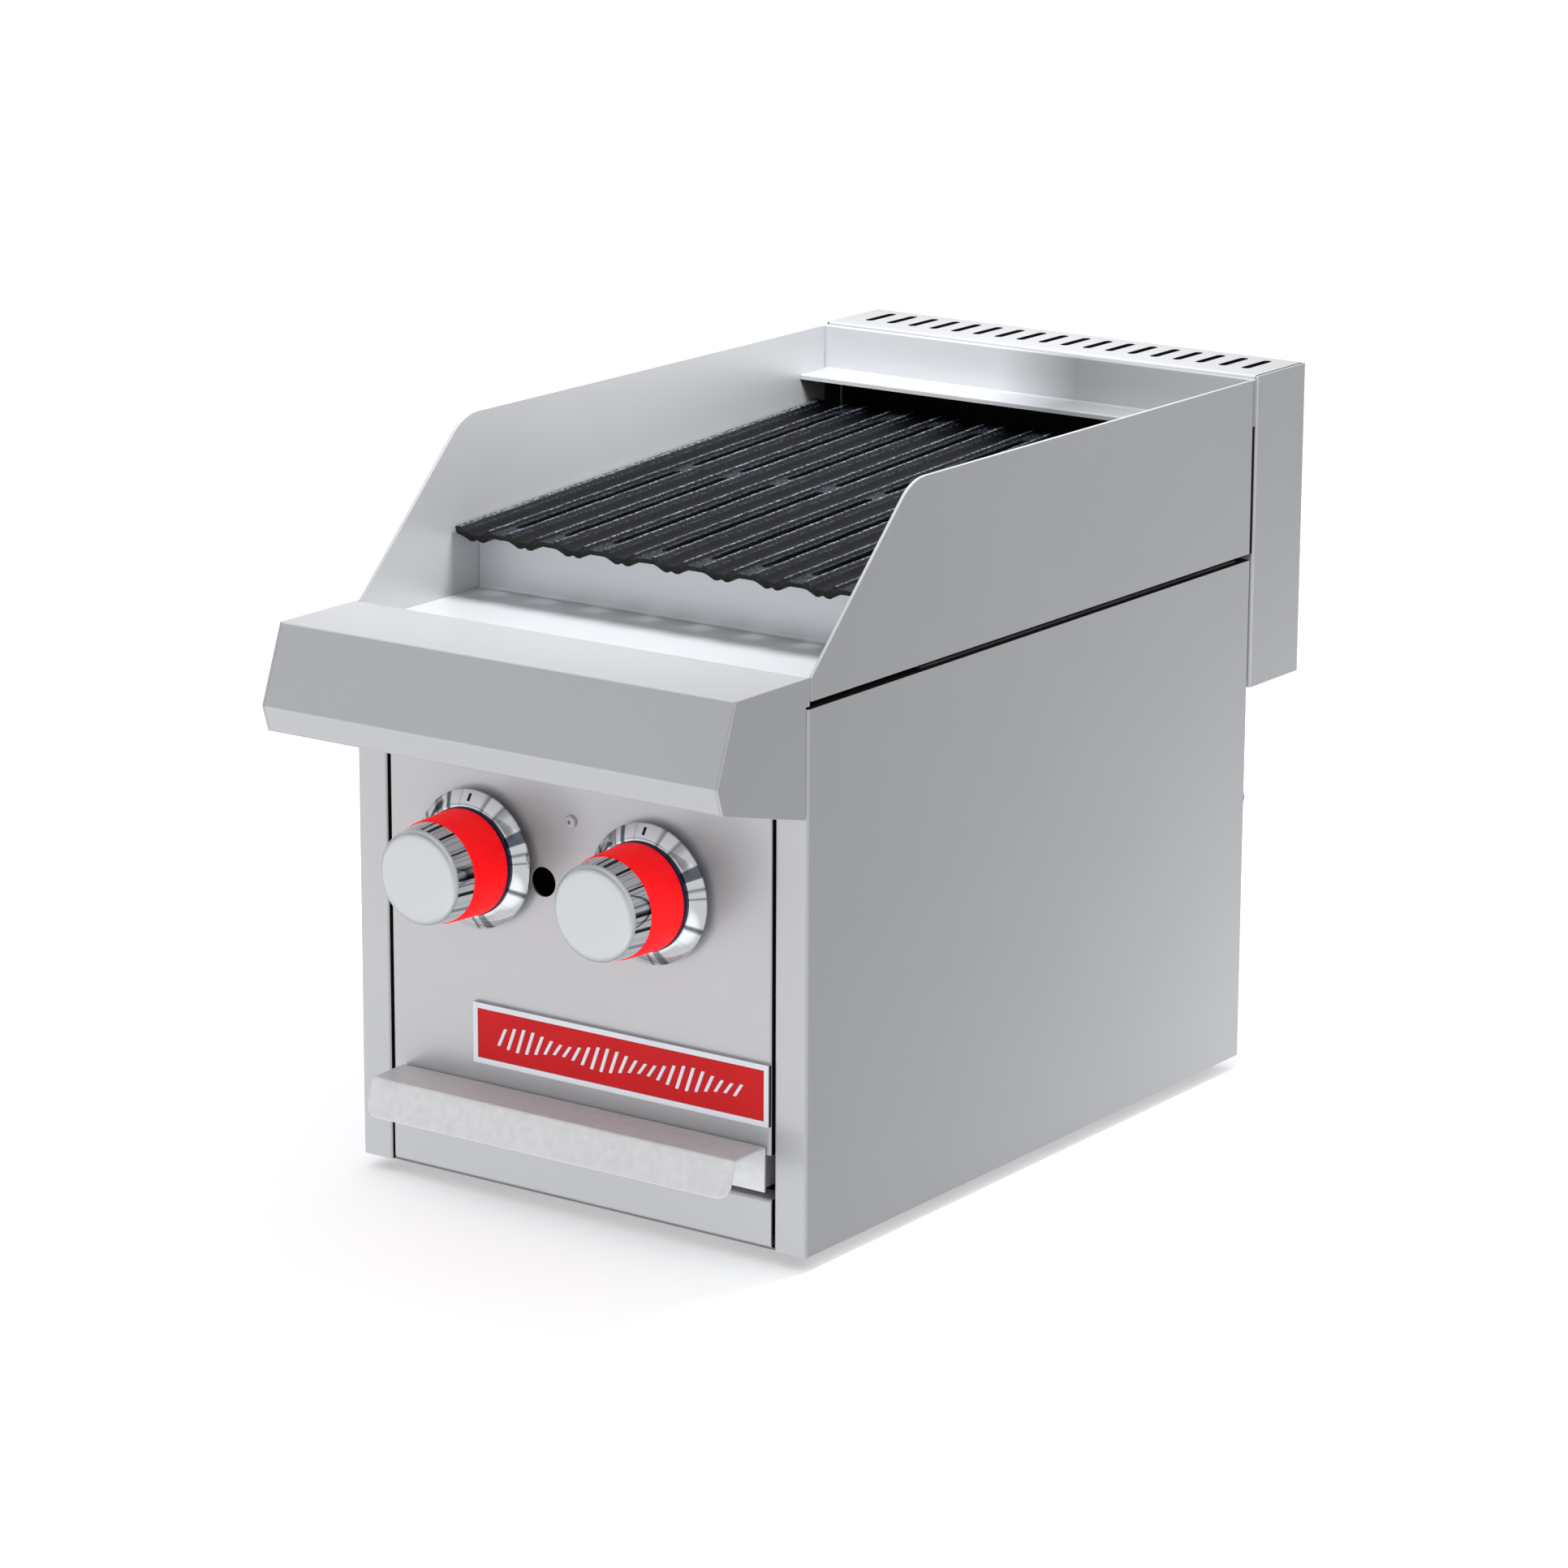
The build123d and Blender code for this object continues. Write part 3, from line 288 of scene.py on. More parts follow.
def coloured_skin(name, dark, light, roughness, grain_mm, painted_glow=0.0):
    """A skin that isn't metal: two close tones, a grain of its own, and an emission that is painted
    light.
    """
    made, tree, shader = start_finish(name, light, 0.0, roughness, Emission_Strength=painted_glow)
    shader.inputs["Emission Color"].default_value = linear(light)
    shader.inputs["Specular IOR Level"].default_value = 0.35
    patches = stretched_noise(tree, [TONE_PATCH] * 3, 2.0, 1.0)
    tree.links.new(tint(tree, patches, dark, light), shader.inputs["Base Color"])
    grain = stretched_noise(tree, [grain_mm] * 3)
    bump(tree, grain, SKIN_DEPTH, shader, 0.4)
    return made


# Both red skins glow a little by emission: painted light.
finishes["red_grip"] = coloured_skin("red_phenolic_painted_glow", "#F2020C", "#FF040E", 0.55, 0.8, 0.40)
finishes["red_field"] = coloured_skin("red_enamel", "#B00008", "#C20209", 0.6, 2.0, 0.08)
finishes["collar"] = coloured_skin("dark_blue_collar", "#0C1030", "#1A2048", 0.3, 2.0)
# near black: soot in the flue, painted shade there and in the seams and reveals
finishes["soot"] = coloured_skin("soot_inside_flue", "#020202", "#060606", 0.95, 3.0)
finishes["black_ink"] = coloured_skin("black_enamel_ink", "#050505", "#0A0A0B", 0.45, 0.6)
finishes["rubber"] = coloured_skin("moulded_black_rubber", "#141414", "#1C1C1D", 0.7, 1.0)
print("finishes so far:", len(finishes))


# %% [markdown]
# The grate is grey cast iron, poured in sand and blackened by seasoning. Sand leaves a skin of
# half-millimetre grains, drawn twice as coarse here so that they show. Its tone follows a number
# from 0 in the gutters to 1 on the crests, which the grate's mesh will carry: the crests are painted
# lighter, as scraped wear and as a painted highlight, the gutters darkest, as painted shade, and
# the flat bottom between a pair of crests a step greyer.
# %% Cast iron
# Tones by height: painted shade in the gutters, a grey step on the channel bottom, wear and painted
# highlight on the crests.
WEAR_AND_PAINTED_LIGHT = (
    (0.0, "#050608"),
    (0.40, "#0C0D12"),
    (0.47, "#30343D"),
    (0.53, "#30343D"),
    (0.60, "#0E0F15"),
    (0.91, "#171920"),
    (1.0, "#7E848E"),
)
SPECKLE = ((0.38, "#3A3A3C"), (0.52, "#A0A0A4"), (0.62, "#FFFFFF"))
SAND_GRAIN, SAND_DEPTH = 0.9, 0.6


def cast_iron(name):
    """Seasoned cast iron: lighter where the crest attribute nears 1, as wear and painted highlight,
    darkest near 0, as painted shade.
    """
    made, tree, shader = start_finish(name, "#1C1D21", 0.3, 0.6)
    crest = node(tree, "ShaderNodeAttribute", attribute_name="crest").outputs["Fac"]
    tone_by_height = ramp(tree, crest, WEAR_AND_PAINTED_LIGHT)
    specks = ramp(tree, stretched_noise(tree, (1.5, 2.2, 1.5), 4.0, 7.0), SPECKLE)
    mix = node(tree, "ShaderNodeMix", data_type="RGBA", blend_type="MULTIPLY")
    mix.inputs["Factor"].default_value = 1.0
    tree.links.new(tone_by_height, mix.inputs["A"])
    tree.links.new(specks, mix.inputs["B"])
    tree.links.new(mix.outputs["Result"], shader.inputs["Base Color"])
    tree.links.new(between(tree, crest, 0.62, 0.45), shader.inputs["Roughness"])
    sand = stretched_noise(tree, [SAND_GRAIN] * 3, 3.0, 5.0)
    bump(tree, sand, SAND_DEPTH, shader, 1.0)
    return made


finishes["grate"] = cast_iron("seasoned_cast_iron")
print("cast iron ready")

# %% [markdown]
# The working parts have finishes of their own: aluminised liners gone dull, radiants and burners
# tinted by heat, black iron pipe, turned brass, and zinc plate. The drip tray is mill-finish
# stainless, mottled and only half a mirror, and the nameplate's trim is bright aluminium. Each is
# a metal with a slow patchy change of tone over a grain. The insulation in the reveals is woven
# glass, with no metal in it, but it is patchy in the same way. Its near black tone is painted shade,
# which makes the reveals read as dark gaps.
# %% Working metals
def patchy_metal(name, tones, metallic, roughness, patch_mm, grain_mm, depth_mm):
    """Tone and roughness drift in patches between two values each, over a grain depth_mm deep."""
    made, tree, shader = start_finish(name, tones[1], metallic, roughness[0])
    patches = stretched_noise(tree, [patch_mm] * 3, 3.0, 3.0)
    tree.links.new(tint(tree, patches, *tones), shader.inputs["Base Color"])
    tree.links.new(between(tree, patches, *roughness), shader.inputs["Roughness"])
    grain = stretched_noise(tree, [grain_mm] * 3)
    bump(tree, grain, depth_mm, shader, 0.6)
    return made


for key, name, tones, metallic, roughness, *sizes_mm in (
    ("liner", "aluminised_liner", ("#77787A", "#9B9C9E"), 0.9, (0.45, 0.6), 35, 1.2, 0.03),
    ("radiant", "heat_tinted_radiant", ("#3A3430", "#5C5650"), 0.8, (0.5, 0.7), 22, 1.0, 0.06),
    ("burner", "heat_tinted_burner", ("#4A4541", "#7A746C"), 0.85, (0.4, 0.6), 18, 0.9, 0.05),
    ("pipe", "black_iron_pipe", ("#17181A", "#26272A"), 0.5, (0.5, 0.65), 12, 0.8, 0.05),
    ("brass", "turned_brass", ("#A8843F", "#C9A75B"), 1.0, (0.25, 0.4), 8, 0.6, 0.02),
    ("zinc", "zinc_plate", ("#A9AEB2", "#C3C7CA"), 1.0, (0.28, 0.42), 6, 0.6, 0.02),
    # the near black of the woven glass is painted shade for the reveals
    ("insulation", "woven_glass_insulation", ("#0E0E0E", "#1B1B1C"), 0.0, (0.85, 0.95), 4, 1.0, 0.2),
    ("tray_steel", "mill_finish_stainless", ("#D4D5D7", "#EBECED"), 0.35, (0.36, 0.46), 5, 0.7, 0.01),
    ("plate_metal", "bright_aluminium_trim", ("#D6D8E0", "#ECEDF2"), 1.0, (0.22, 0.3), 20, 0.8, 0.01),
):
    finishes[key] = patchy_metal(name, tones, metallic, roughness, *sizes_mm)
print("finishes so far:", len(finishes))


# %% [markdown]
# The camera stands to the right of the front, about three metres off and a metre up, and looks
# down on the ledge and the grate. A long lens from there keeps upright edges nearly parallel. Its
# place is a point, and its aim is two turns: how far round from straight ahead, and how far down.
# A small roll levels the picture.
# %% Camera
CAMERA_AT = Vector((1.74897, -2.48203, 0.99930))
AZIMUTH, DIP, ROLL = (math.radians(a) for a in (35.384, 14.786, 0.198))
LENS_MM, SENSOR_MM = 128.51, 36.0

ahead = Vector((-math.sin(AZIMUTH), math.cos(AZIMUTH), 0.0))
forward = math.cos(DIP) * ahead - math.sin(DIP) * Vector((0.0, 0.0, 1.0))
level = Vector((math.cos(AZIMUTH), math.sin(AZIMUTH), 0.0))
upright = level.cross(forward)
across = math.cos(ROLL) * level + math.sin(ROLL) * upright
up = -math.sin(ROLL) * level + math.cos(ROLL) * upright
lens = bpy.data.cameras.new("studio_camera")
lens.lens, lens.sensor_width, lens.clip_end = LENS_MM, SENSOR_MM, 30.0
camera = bpy.data.objects.new("studio_camera", lens)
axes = Matrix((across, up, -forward)).transposed().to_4x4()
camera.matrix_world = Matrix.Translation(CAMERA_AT) @ axes
scene.collection.objects.link(camera)
scene.camera = camera
scene.view_settings.view_transform = "Standard"
print("camera is", round(CAMERA_AT.length, 2), "metres from the middle of the part")


# %% [markdown]
# Sheet steel looks like whatever stands around it, so the studio matters as much as the metal.
# The walls are a pale grey, and soft boxes and dark flags are painted on them as smooth round
# spots. A spot has the direction it lies in, an inner and an outer angle between which it fades,
# and a strength, which is negative for a flag. A big spot overhead lights the tops, and one at the
# front left fills the front. A wide flag at the back right turns the right side a step down in
# tone, and another, up at the front left, is what the ledge's slope mirrors. The small ones are
# there for the chromium, which shows nothing but what it mirrors.
# %% Studio light
world = bpy.data.worlds.new("pale_studio")
world.use_nodes = True
scene.world = world
sky = world.node_tree
sky.nodes.clear()
looking = node(sky, "ShaderNodeTexCoord").outputs["Generated"]


def soft_spot(axis, inner, outer, strength):
    """Light on the walls around an axis: full strength inside one angle, none outside another."""
    turned = node(sky, "ShaderNodeVectorMath", {0: looking}, operation="DOT_PRODUCT")
    turned.inputs[1].default_value = Vector(axis).normalized()
    fade = {
        "Value": turned.outputs["Value"],
        "From Min": math.cos(math.radians(outer)),
        "From Max": math.cos(math.radians(inner)),
        "To Min": 0.0,
        "To Max": strength,
    }
    return node(sky, "ShaderNodeMapRange", fade, interpolation_type="SMOOTHSTEP").outputs[0]


WALL = 0.65
SPOTS = (
    ((0.0, 0.0, 1.0), 20, 80, 0.34),  # overhead
    ((-0.56, -0.45, -0.70), 5, 30, -0.20),  # below the front left
    ((-0.56, -0.74, -0.32), 20, 50, 0.38),  # low front left
    ((0.56, 0.79, -0.20), 10, 45, -0.46),  # back right, for the right side
    ((-0.56, -0.76, 0.40), 5, 36, -0.52),  # high front left, for the ledge's slope
    ((0.56, 0.79, -0.25), 5, 25, -0.10),  # back right again, narrower
    ((-0.98, -0.10, 0.17), 5, 12, -0.55),  # left, for the chromium, as are the rest
    ((0.21, -0.83, 0.52), 5, 20, -0.50),
    ((-0.30, -0.72, 0.62), 3, 9, -0.60),
    ((0.25, -0.70, -0.66), 10, 26, 0.45),
)
total = WALL
for spot in SPOTS:
    total = node(sky, "ShaderNodeMath", {0: total, 1: soft_spot(*spot)}, operation="ADD").outputs[0]
air = node(sky, "ShaderNodeBackground", {"Strength": total})
air.inputs["Color"].default_value = linear("#FCFDFF")
node(sky, "ShaderNodeOutputWorld", {"Surface": air.outputs[0]})
print("spots on the walls:", len(SPOTS))


# %% [markdown]
# Three real lamps add the direction that painted walls lack. The low one at the front left gives
# the knobs their soft shadows, up and to the right of each. The small one stands low at the back
# right, where it lets the right side grow paler towards its lower rear corner. A third hangs over
# the grate and fills the space between the guards. Gloss sees none of them, so no lamp shows in
# the metal.
# %% Lamps
def lamp(name, place, target, size, watts, spread=180):
    """A square soft lamp that only scattered light sees. spread is its beam, in degrees."""
    square = bpy.data.lights.new(name, "AREA")
    square.size, square.energy, square.spread = size, watts, math.radians(spread)
    made = bpy.data.objects.new(name, square)
    made.location = place
    made.rotation_euler = (Vector(target) - Vector(place)).to_track_quat("-Z", "Y").to_euler()
    made.visible_glossy = False
    scene.collection.objects.link(made)


lamp("low_front_left", (-1.5, -2.0, -0.7), (0, -0.2, 0.2), 0.5, 22)
lamp("low_back_right", (0.50, 0.42, -0.08), (0.15, 0.2, 0.08), 0.15, 2.2)
lamp("over_grate", (0.12, -0.02, 0.85), (-0.12, 0.06, 0.35), 0.2, 4.0, 110)
print("lamps:", len(bpy.data.lights))

# %% [markdown]
# The floor is one plain pale sheet, so wide that its edge never shows. Gloss doesn't see it: the
# metal reflects the studio's walls all the way down, as it would on a lifted table. It casts no
# shadow, because two of the lamps stand lower than it, and it glows a little, as paper lit from
# below does, so that it stays nearly white.
# %% Floor
REACH = 40.0
sweep = bpy.data.meshes.new("studio_floor")
corners = [(-REACH, -REACH, 0), (REACH, -REACH, 0), (REACH, REACH, 0), (-REACH, REACH, 0)]
sweep.from_pydata(corners, [], [(0, 1, 2, 3)])
floor = bpy.data.objects.new("studio_floor", sweep)
floor.visible_glossy = False
floor.visible_shadow = False
scene.collection.objects.link(floor)
paper, _, glowing = start_finish("matt_white_paper", "#F8F8F8", 0.0, 0.9, Emission_Strength=0.35)
glowing.inputs["Emission Color"].default_value = linear("#FFFFFF")
sweep.materials.append(paper)
print("floor reaches", REACH, "metres each way")

# %% [markdown]
# Each CAD part gets its finish by name, whether it stays as it is or is copied later. The grain
# of a sheet runs the way it was belted before it was folded: across the front faces, front to back
# on the side faces, and upright on the ledge's end caps.
# %% Give the CAD parts their finishes
finish_of = {
    "steel_x": "lower_rail control_panel ledge flue_box flue_lid rear_panel",
    # the trough takes the paler copy of the steel: painted light
    "steel_painted_lighter": "front_trough",
    "steel_rear_painted_reflection": "backsplash",
    "steel_y": "side_panel_left side_panel_right splash_guard_left splash_guard_right",
    "steel_z": "ledge_cap_left ledge_cap_right panel_screw",
    "tray_steel": "drip_tray",
    "liner": "bottom_pan firebox_left firebox_right firebox_front firebox_rear radiant_rail_front "
    "radiant_rail_rear grate_bearer tray_runner_left tray_runner_right",
    "radiant": "radiant_left radiant_right",
    "burner": "burner_left burner_right air_shutter_left air_shutter_right",
    "pipe": "gas_manifold supply_pipe pipe_union",
    "brass": "valve_body_left valve_body_right valve_plug_left valve_plug_right orifice_left "
    "orifice_right pilot_valve pilot_screw",
    "zinc": "valve_stem_left valve_stem_right rear_screws pilot_tube",
    "chrome": "knob_skirt_left knob_skirt_right knob_cap_left knob_cap_right",
    "red_grip": "knob_grip_left knob_grip_right",
    "plate_metal": "nameplate_frame",
    "red_field": "nameplate_field",
    "soot": "throat_plate",
    "insulation": "insulating_strips",
    "rubber": "feet",
    "grate": "grate",
}
for finish, names in finish_of.items():
    for name in names.split():
        mesh = frame["nodes"][name].data
        mesh.materials.clear()
        mesh.materials.append(finishes[finish])
print("CAD parts finished:", sum(len(v.split()) for v in finish_of.values()))


# %% [markdown]
# Every new piece is declared the same way: it goes in the scene, rides on the body of the CAD
# part it stands for, and hides that part. A mesh that was drawn round its own middle is moved to
# its place here, point by point, so that the object itself stays at the origin as the CAD parts
# do, and patterns stay where they are.
# %% Declare a piece
def declare(name, mesh, body, slot, *stands_for, at=(0, 0, 0)):
    mesh.transform(Matrix.Translation(at))
    made = bpy.data.objects.new(name, mesh)
    scene.collection.objects.link(made)
    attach(made, body)
    if stands_for:
        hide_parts(*stands_for)
    return made


# %% [markdown]
# A folded or sheared sheet never has a knife edge: its corners are broken by a file or a belt to
# about half a millimetre, and that small round catches a line of light. So each visible sheet is
# shown by a copy with its seams merged, its flat faces joined, and its sharp edges rounded. The
# flue's lid is punched rather than filed, so the edges of its slots stay much crisper.
# %% Break the sheets' edges
EDGE_ROUND, SLOT_ROUND = 0.45, 0.12
SEAM = 0.01
FLAT, SHARP, CREASE = (math.radians(a) for a in (0.5, 35, 50))


def softened(name, width_mm):
    """The mesh of a CAD part copied, with its sharp edges rounded to width_mm."""
    source = frame["nodes"][name]
    work = bmesh.new()
    work.from_mesh(source.data)
    bmesh.ops.remove_doubles(work, verts=work.verts, dist=SEAM * MM)
    bmesh.ops.dissolve_limit(work, angle_limit=FLAT, verts=work.verts, edges=work.edges)
    sharp = [e for e in work.edges if e.is_manifold and e.calc_face_angle() > SHARP]
    bmesh.ops.bevel(
        work,
        geom=sharp,
        offset=width_mm * MM,
        segments=2,
        profile=0.5,
        affect="EDGES",
        clamp_overlap=True,
    )
    bmesh.ops.triangulate(work, faces=[f for f in work.faces if len(f.verts) > 4])
    mesh = bpy.data.meshes.new(f"{name}_softened")
    work.to_mesh(mesh)
    work.free()
    mesh.materials.append(source.data.materials[0])
    mesh.polygons.foreach_set("use_smooth", [True] * len(mesh.polygons))
    mesh.set_sharp_from_angle(angle=CREASE)
    return mesh


SHEETS = (
    "lower_rail control_panel ledge front_trough backsplash flue_box flue_lid rear_panel drip_tray "
    "side_panel_left side_panel_right splash_guard_left splash_guard_right ledge_cap_left "
    "ledge_cap_right"
).split()
for name in SHEETS:
    body = body_of(frame["nodes"][name])[0]
    width_mm = SLOT_ROUND if name == "flue_lid" else EDGE_ROUND
    sheet = declare(f"{name}_sheet", softened(name, width_mm), body, "stainless", name)
    even = sheet.modifiers.new("flat_faces_stay_flat", "WEIGHTED_NORMAL")
    even.keep_sharp = True
print("sheets with broken edges:", len(SHEETS))

# %% [markdown]
# The inside of the flue is painted near black, as soot and as painted shade, so its vents look
# black from above. In the box, the black goes on the faces that lie deeper than its skin or look
# towards its middle. In the lid it goes on the underside and on the walls of the slots, which stand
# clear of the lid's outer edges.
# %% Soot and painted shade in the flue
SKIN, LID_MARGIN, SLOTTED_HALF = 1.2 * MM, 4 * MM, 145 * MM


def within(face, low, high, margin, axes):
    """Whether a face's middle lies inside a box by a margin, along each of some axes."""
    return all(low[a] + margin < face.center[a] < high[a] - margin for a in axes)


def soot_and_shade_in_box(face, low, high):
    """Whether a face of the flue box is on its inside."""
    inward = (low + high) / 2 - face.center
    looks_in = face.normal.dot(inward) > 0.3 * inward.length
    return looks_in or within(face, low, high, SKIN, (0, 1, 2))


def soot_and_shade_in_lid(face, low, high):
    """Whether a face of the lid is its underside, or the wall of a slot."""
    steep = abs(face.normal.z) < 0.9 and abs(face.center.x) < SLOTTED_HALF
    in_slot = steep and within(face, low, high, LID_MARGIN, (1,))
    return face.normal.z < -0.5 or in_slot or within(face, low, high, SKIN, (0, 1, 2))


# near black on the flue's inner faces: soot and painted shade
for name, blackens in (("flue_box", soot_and_shade_in_box), ("flue_lid", soot_and_shade_in_lid)):
    mesh = bpy.data.objects[f"{name}_sheet"].data
    mesh.materials.append(finishes["soot"])
    low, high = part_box(name)
    blackened = [face for face in mesh.polygons if blackens(face, low, high)]
    for face in blackened:
        face.material_index = 1
    print("sooted faces of", name, len(blackened), "of", len(mesh.polygons))

# %% [markdown]
# The front panel, the rail and the posts meet at narrow seams. The folded edges inside those seams
# are painted black, as painted shade, and two black upright lines are what one sees from outside.
# The long reveal between each side panel and its splash guard is painted dark the same way: the
# top edge of the one and the bottom edge of the other.
# %% Painted shade in the seams
OUTER_FACE, SEAM_DEPTH = 149 * MM, 30 * MM
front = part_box("control_panel")[0].y
for name in ("control_panel", "lower_rail", "side_panel_left", "side_panel_right"):
    mesh = bpy.data.objects[f"{name}_sheet"].data
    mesh.materials.append(finishes["soot"])
    # faces inside the seams and reveals take the black: painted shade
    for face in mesh.polygons:
        behind = front + 1 * MM < face.center.y < front + SEAM_DEPTH
        if behind and abs(face.center.x) < OUTER_FACE and abs(face.normal.x) > 0.8:
            face.material_index = 1
for name in ("side_panel_left", "side_panel_right", "splash_guard_left", "splash_guard_right"):
    mesh = bpy.data.objects[f"{name}_sheet"].data
    low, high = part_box(name)
    faces_up, edge = (1, high.z) if name.startswith("side") else (-1, low.z)
    if faces_up < 0:
        mesh.materials.append(finishes["soot"])
    for face in mesh.polygons:
        if face.normal.z * faces_up > 0.7 and abs(face.center.z - edge) < 1 * MM:
            face.material_index = 1
print("front plane at", round(front, 5))


# %% [markdown]
# The knobs are turned shapes, so each part is a profile spun round the stem's axis. A profile is
# a list of distances out from the panel and radii; the spin closes it into a ring or a cap. Flutes
# are a ripple in the radius. Each point also keeps the direction it lies in, seen along the stem,
# as its "outward" attribute, for the chromium's painted reflection streaks.
# %% Spin a profile
def spun(name, profile, steps=96, ripple=0.0, ripples=0):
    """A mesh from (out, radius) points in mm, spun round the Y axis. Ripple cuts fine flutes."""
    work = bmesh.new()
    outward = work.verts.layers.float_vector.new("outward")
    rings = []
    for out, radius in profile:
        ring = []
        for i in range(steps):
            turn = 2 * math.pi * i / steps
            away = Vector((math.sin(turn), 0.0, math.cos(turn)))
            flute = ripple * (0.5 + 0.5 * math.cos(ripples * turn))
            point = work.verts.new(((radius - flute) * away - Vector((0.0, out, 0.0))) * MM)
            point[outward] = away
            ring.append(point)
        rings.append(ring)
    for lower, upper in zip(rings, rings[1:]):
        for i in range(steps):
            j = (i + 1) % steps
            work.faces.new((lower[i], lower[j], upper[j], upper[i]))
    work.faces.new(rings[0][::-1])
    work.faces.new(rings[-1])
    bmesh.ops.recalc_face_normals(work, faces=work.faces)
    mesh = bpy.data.meshes.new(name)
    work.to_mesh(mesh)
    work.free()
    mesh.polygons.foreach_set("use_smooth", [True] * len(mesh.polygons))
    mesh.set_sharp_from_angle(angle=math.radians(40))
    return mesh


# %% [markdown]
# A knob has a chrome skirt with a bevelled rim, a dark blue collar, a red grip with flutes too
# fine to count, and a pressed chrome cap whose side is bright and whose face is satin.
# %% Knob profiles
SKIRT = [(4.75, 33.0), (4.75, 37.9), (5.2, 38.45), (5.9, 38.5), (6.4, 38.2), (10.7, 31.8)]
SKIRT += [(11.0, 31.2), (11.1, 30.1), (11.1, 12.0)]
COLLAR = [(11.0, 12.0), (11.0, 30.0), (12.5, 30.0), (12.9, 29.8), (13.0, 29.4), (13.0, 12.0)]
GRIP = [(13.05, 12.0), (13.05, 29.0), (13.3, 29.4), (14.0, 29.55), (38.2, 28.3), (38.8, 28.1)]
GRIP += [(39.0, 27.8), (39.0, 25.0)]
BAND = [(39.0, 24.0), (39.0, 27.3), (39.3, 27.55), (50.9, 26.35), (50.9, 24.0)]
FACE = [(50.0, 24.0), (51.0, 26.3), (52.0, 26.0), (52.9, 25.3), (53.5, 24.3), (53.85, 23.1)]
FACE += [(54.0, 21.6), (54.0, 12.0), (54.0, 0.4)]
FLUTES = {"steps": 480, "ripple": 0.12, "ripples": 120}
print("skirt width:", 2 * max(radius for _, radius in SKIRT), "mm")

# %% [markdown]
# The skirt carries one black mark at twelve o'clock, which shows how far the gas is on. It is a
# thin bar of enamel, laid on the skirt's bevel at the bevel's own slope. The red grips are kept
# out of mirrored light, so that no red spills over the steel round them.
# %% Knobs
MARK_SIZE = (1.7, 0.25, 4.6)
MARK_AT = (0, -8.65, 35.0)
BEVEL_SLOPE = math.atan2(4.3, 6.4)
for side in ("left", "right"):
    low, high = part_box(f"knob_skirt_{side}")
    centre = ((low.x + high.x) / 2, front, (low.z + high.z) / 2)
    body = body_of(frame["nodes"][f"knob_skirt_{side}"])[0]
    for part, profile, finish, slot, extra in (
        ("skirt", SKIRT, "chrome", "chrome", {}),
        ("collar", COLLAR, "collar", "chrome", {}),
        ("grip", GRIP, "red_grip", "red_plastic", FLUTES),
        ("cap_band", BAND, "band_chrome_painted_reflections", "chrome", {}),
        ("cap_face", FACE, "satin_chrome", "chrome", {}),
    ):
        mesh = spun(f"knob_{part}_{side}_mesh", profile, **extra)
        mesh.materials.append(finishes[finish])
        stands_for = {"skirt": "knob_skirt", "grip": "knob_grip", "cap_band": "knob_cap"}.get(part)
        hidden = [f"{stands_for}_{side}"] if stands_for else []
        piece = declare(f"knob_{side}_{part}", mesh, body, slot, *hidden, at=centre)
        piece.visible_glossy = part != "grip"
    mark = bmesh.new()
    bmesh.ops.create_cube(mark, size=1.0)
    bmesh.ops.scale(mark, vec=Vector(MARK_SIZE) * MM, verts=mark.verts)
    bmesh.ops.bevel(mark, geom=mark.edges[:], offset=0.1 * MM, segments=2, affect="EDGES")
    bmesh.ops.rotate(mark, verts=mark.verts, matrix=Matrix.Rotation(-BEVEL_SLOPE, 3, "X"))
    bmesh.ops.translate(mark, vec=Vector(MARK_AT) * MM, verts=mark.verts)
    mesh = bpy.data.meshes.new(f"knob_mark_{side}_mesh")
    mark.to_mesh(mesh)
    mark.free()
    mesh.materials.append(finishes["black_ink"])
    declare(f"knob_{side}_mark", mesh, body, "chrome", at=centre)
print("knob at", [round(v, 4) for v in centre])


# %% [markdown]
# What repeats is made once and laid out by Geometry Nodes. One function starts such a tree with
# named inputs, one ends it with real geometry and a material, and one runs it on a carrier and
# keeps the result as a plain mesh, so that nothing of the tree has to travel with the piece.
# %% Geometry Nodes helpers
def start_rule(name, **inputs):
    """A Geometry Nodes tree with named inputs. Returns the tree and its input node."""
    tree = bpy.data.node_groups.new(name, "GeometryNodeTree")
    tree.interface.new_socket("Geometry", in_out="INPUT", socket_type="NodeSocketGeometry")
    for label, kind in inputs.items():
        tree.interface.new_socket(label, in_out="INPUT", socket_type=f"NodeSocket{kind}")
    tree.interface.new_socket("Geometry", in_out="OUTPUT", socket_type="NodeSocketGeometry")
    return tree, node(tree, "NodeGroupInput")


def end_rule(tree, geometry):
    """Closes a tree: real geometry, and the material of its Finish input."""
    given = [n for n in tree.nodes if n.bl_idname == "NodeGroupInput"][0]
    real = node(tree, "GeometryNodeRealizeInstances", {0: geometry}).outputs[0]
    finished = node(tree, "GeometryNodeSetMaterial", {0: real, "Material": given.outputs["Finish"]})
    node(tree, "NodeGroupOutput", {"Geometry": finished.outputs[0]})


def run_rule(tree, mesh, name, **values):
    """Runs a tree over a mesh with its inputs set, and returns the result as a plain mesh."""
    carrier = bpy.data.objects.new(f"{name}_carrier", mesh)
    scene.collection.objects.link(carrier)
    rule = carrier.modifiers.new(name, "NODES")
    rule.node_group = tree
    asked = [item for item in tree.interface.items_tree if item.in_out == "INPUT"]
    identifiers = {item.name: item.identifier for item in asked}
    for label, value in values.items():
        rule[identifiers[label]] = value
    graph = bpy.context.evaluated_depsgraph_get()
    made = bpy.data.meshes.new_from_object(carrier.evaluated_get(graph))
    made.name = name
    bpy.data.objects.remove(carrier)
    return made


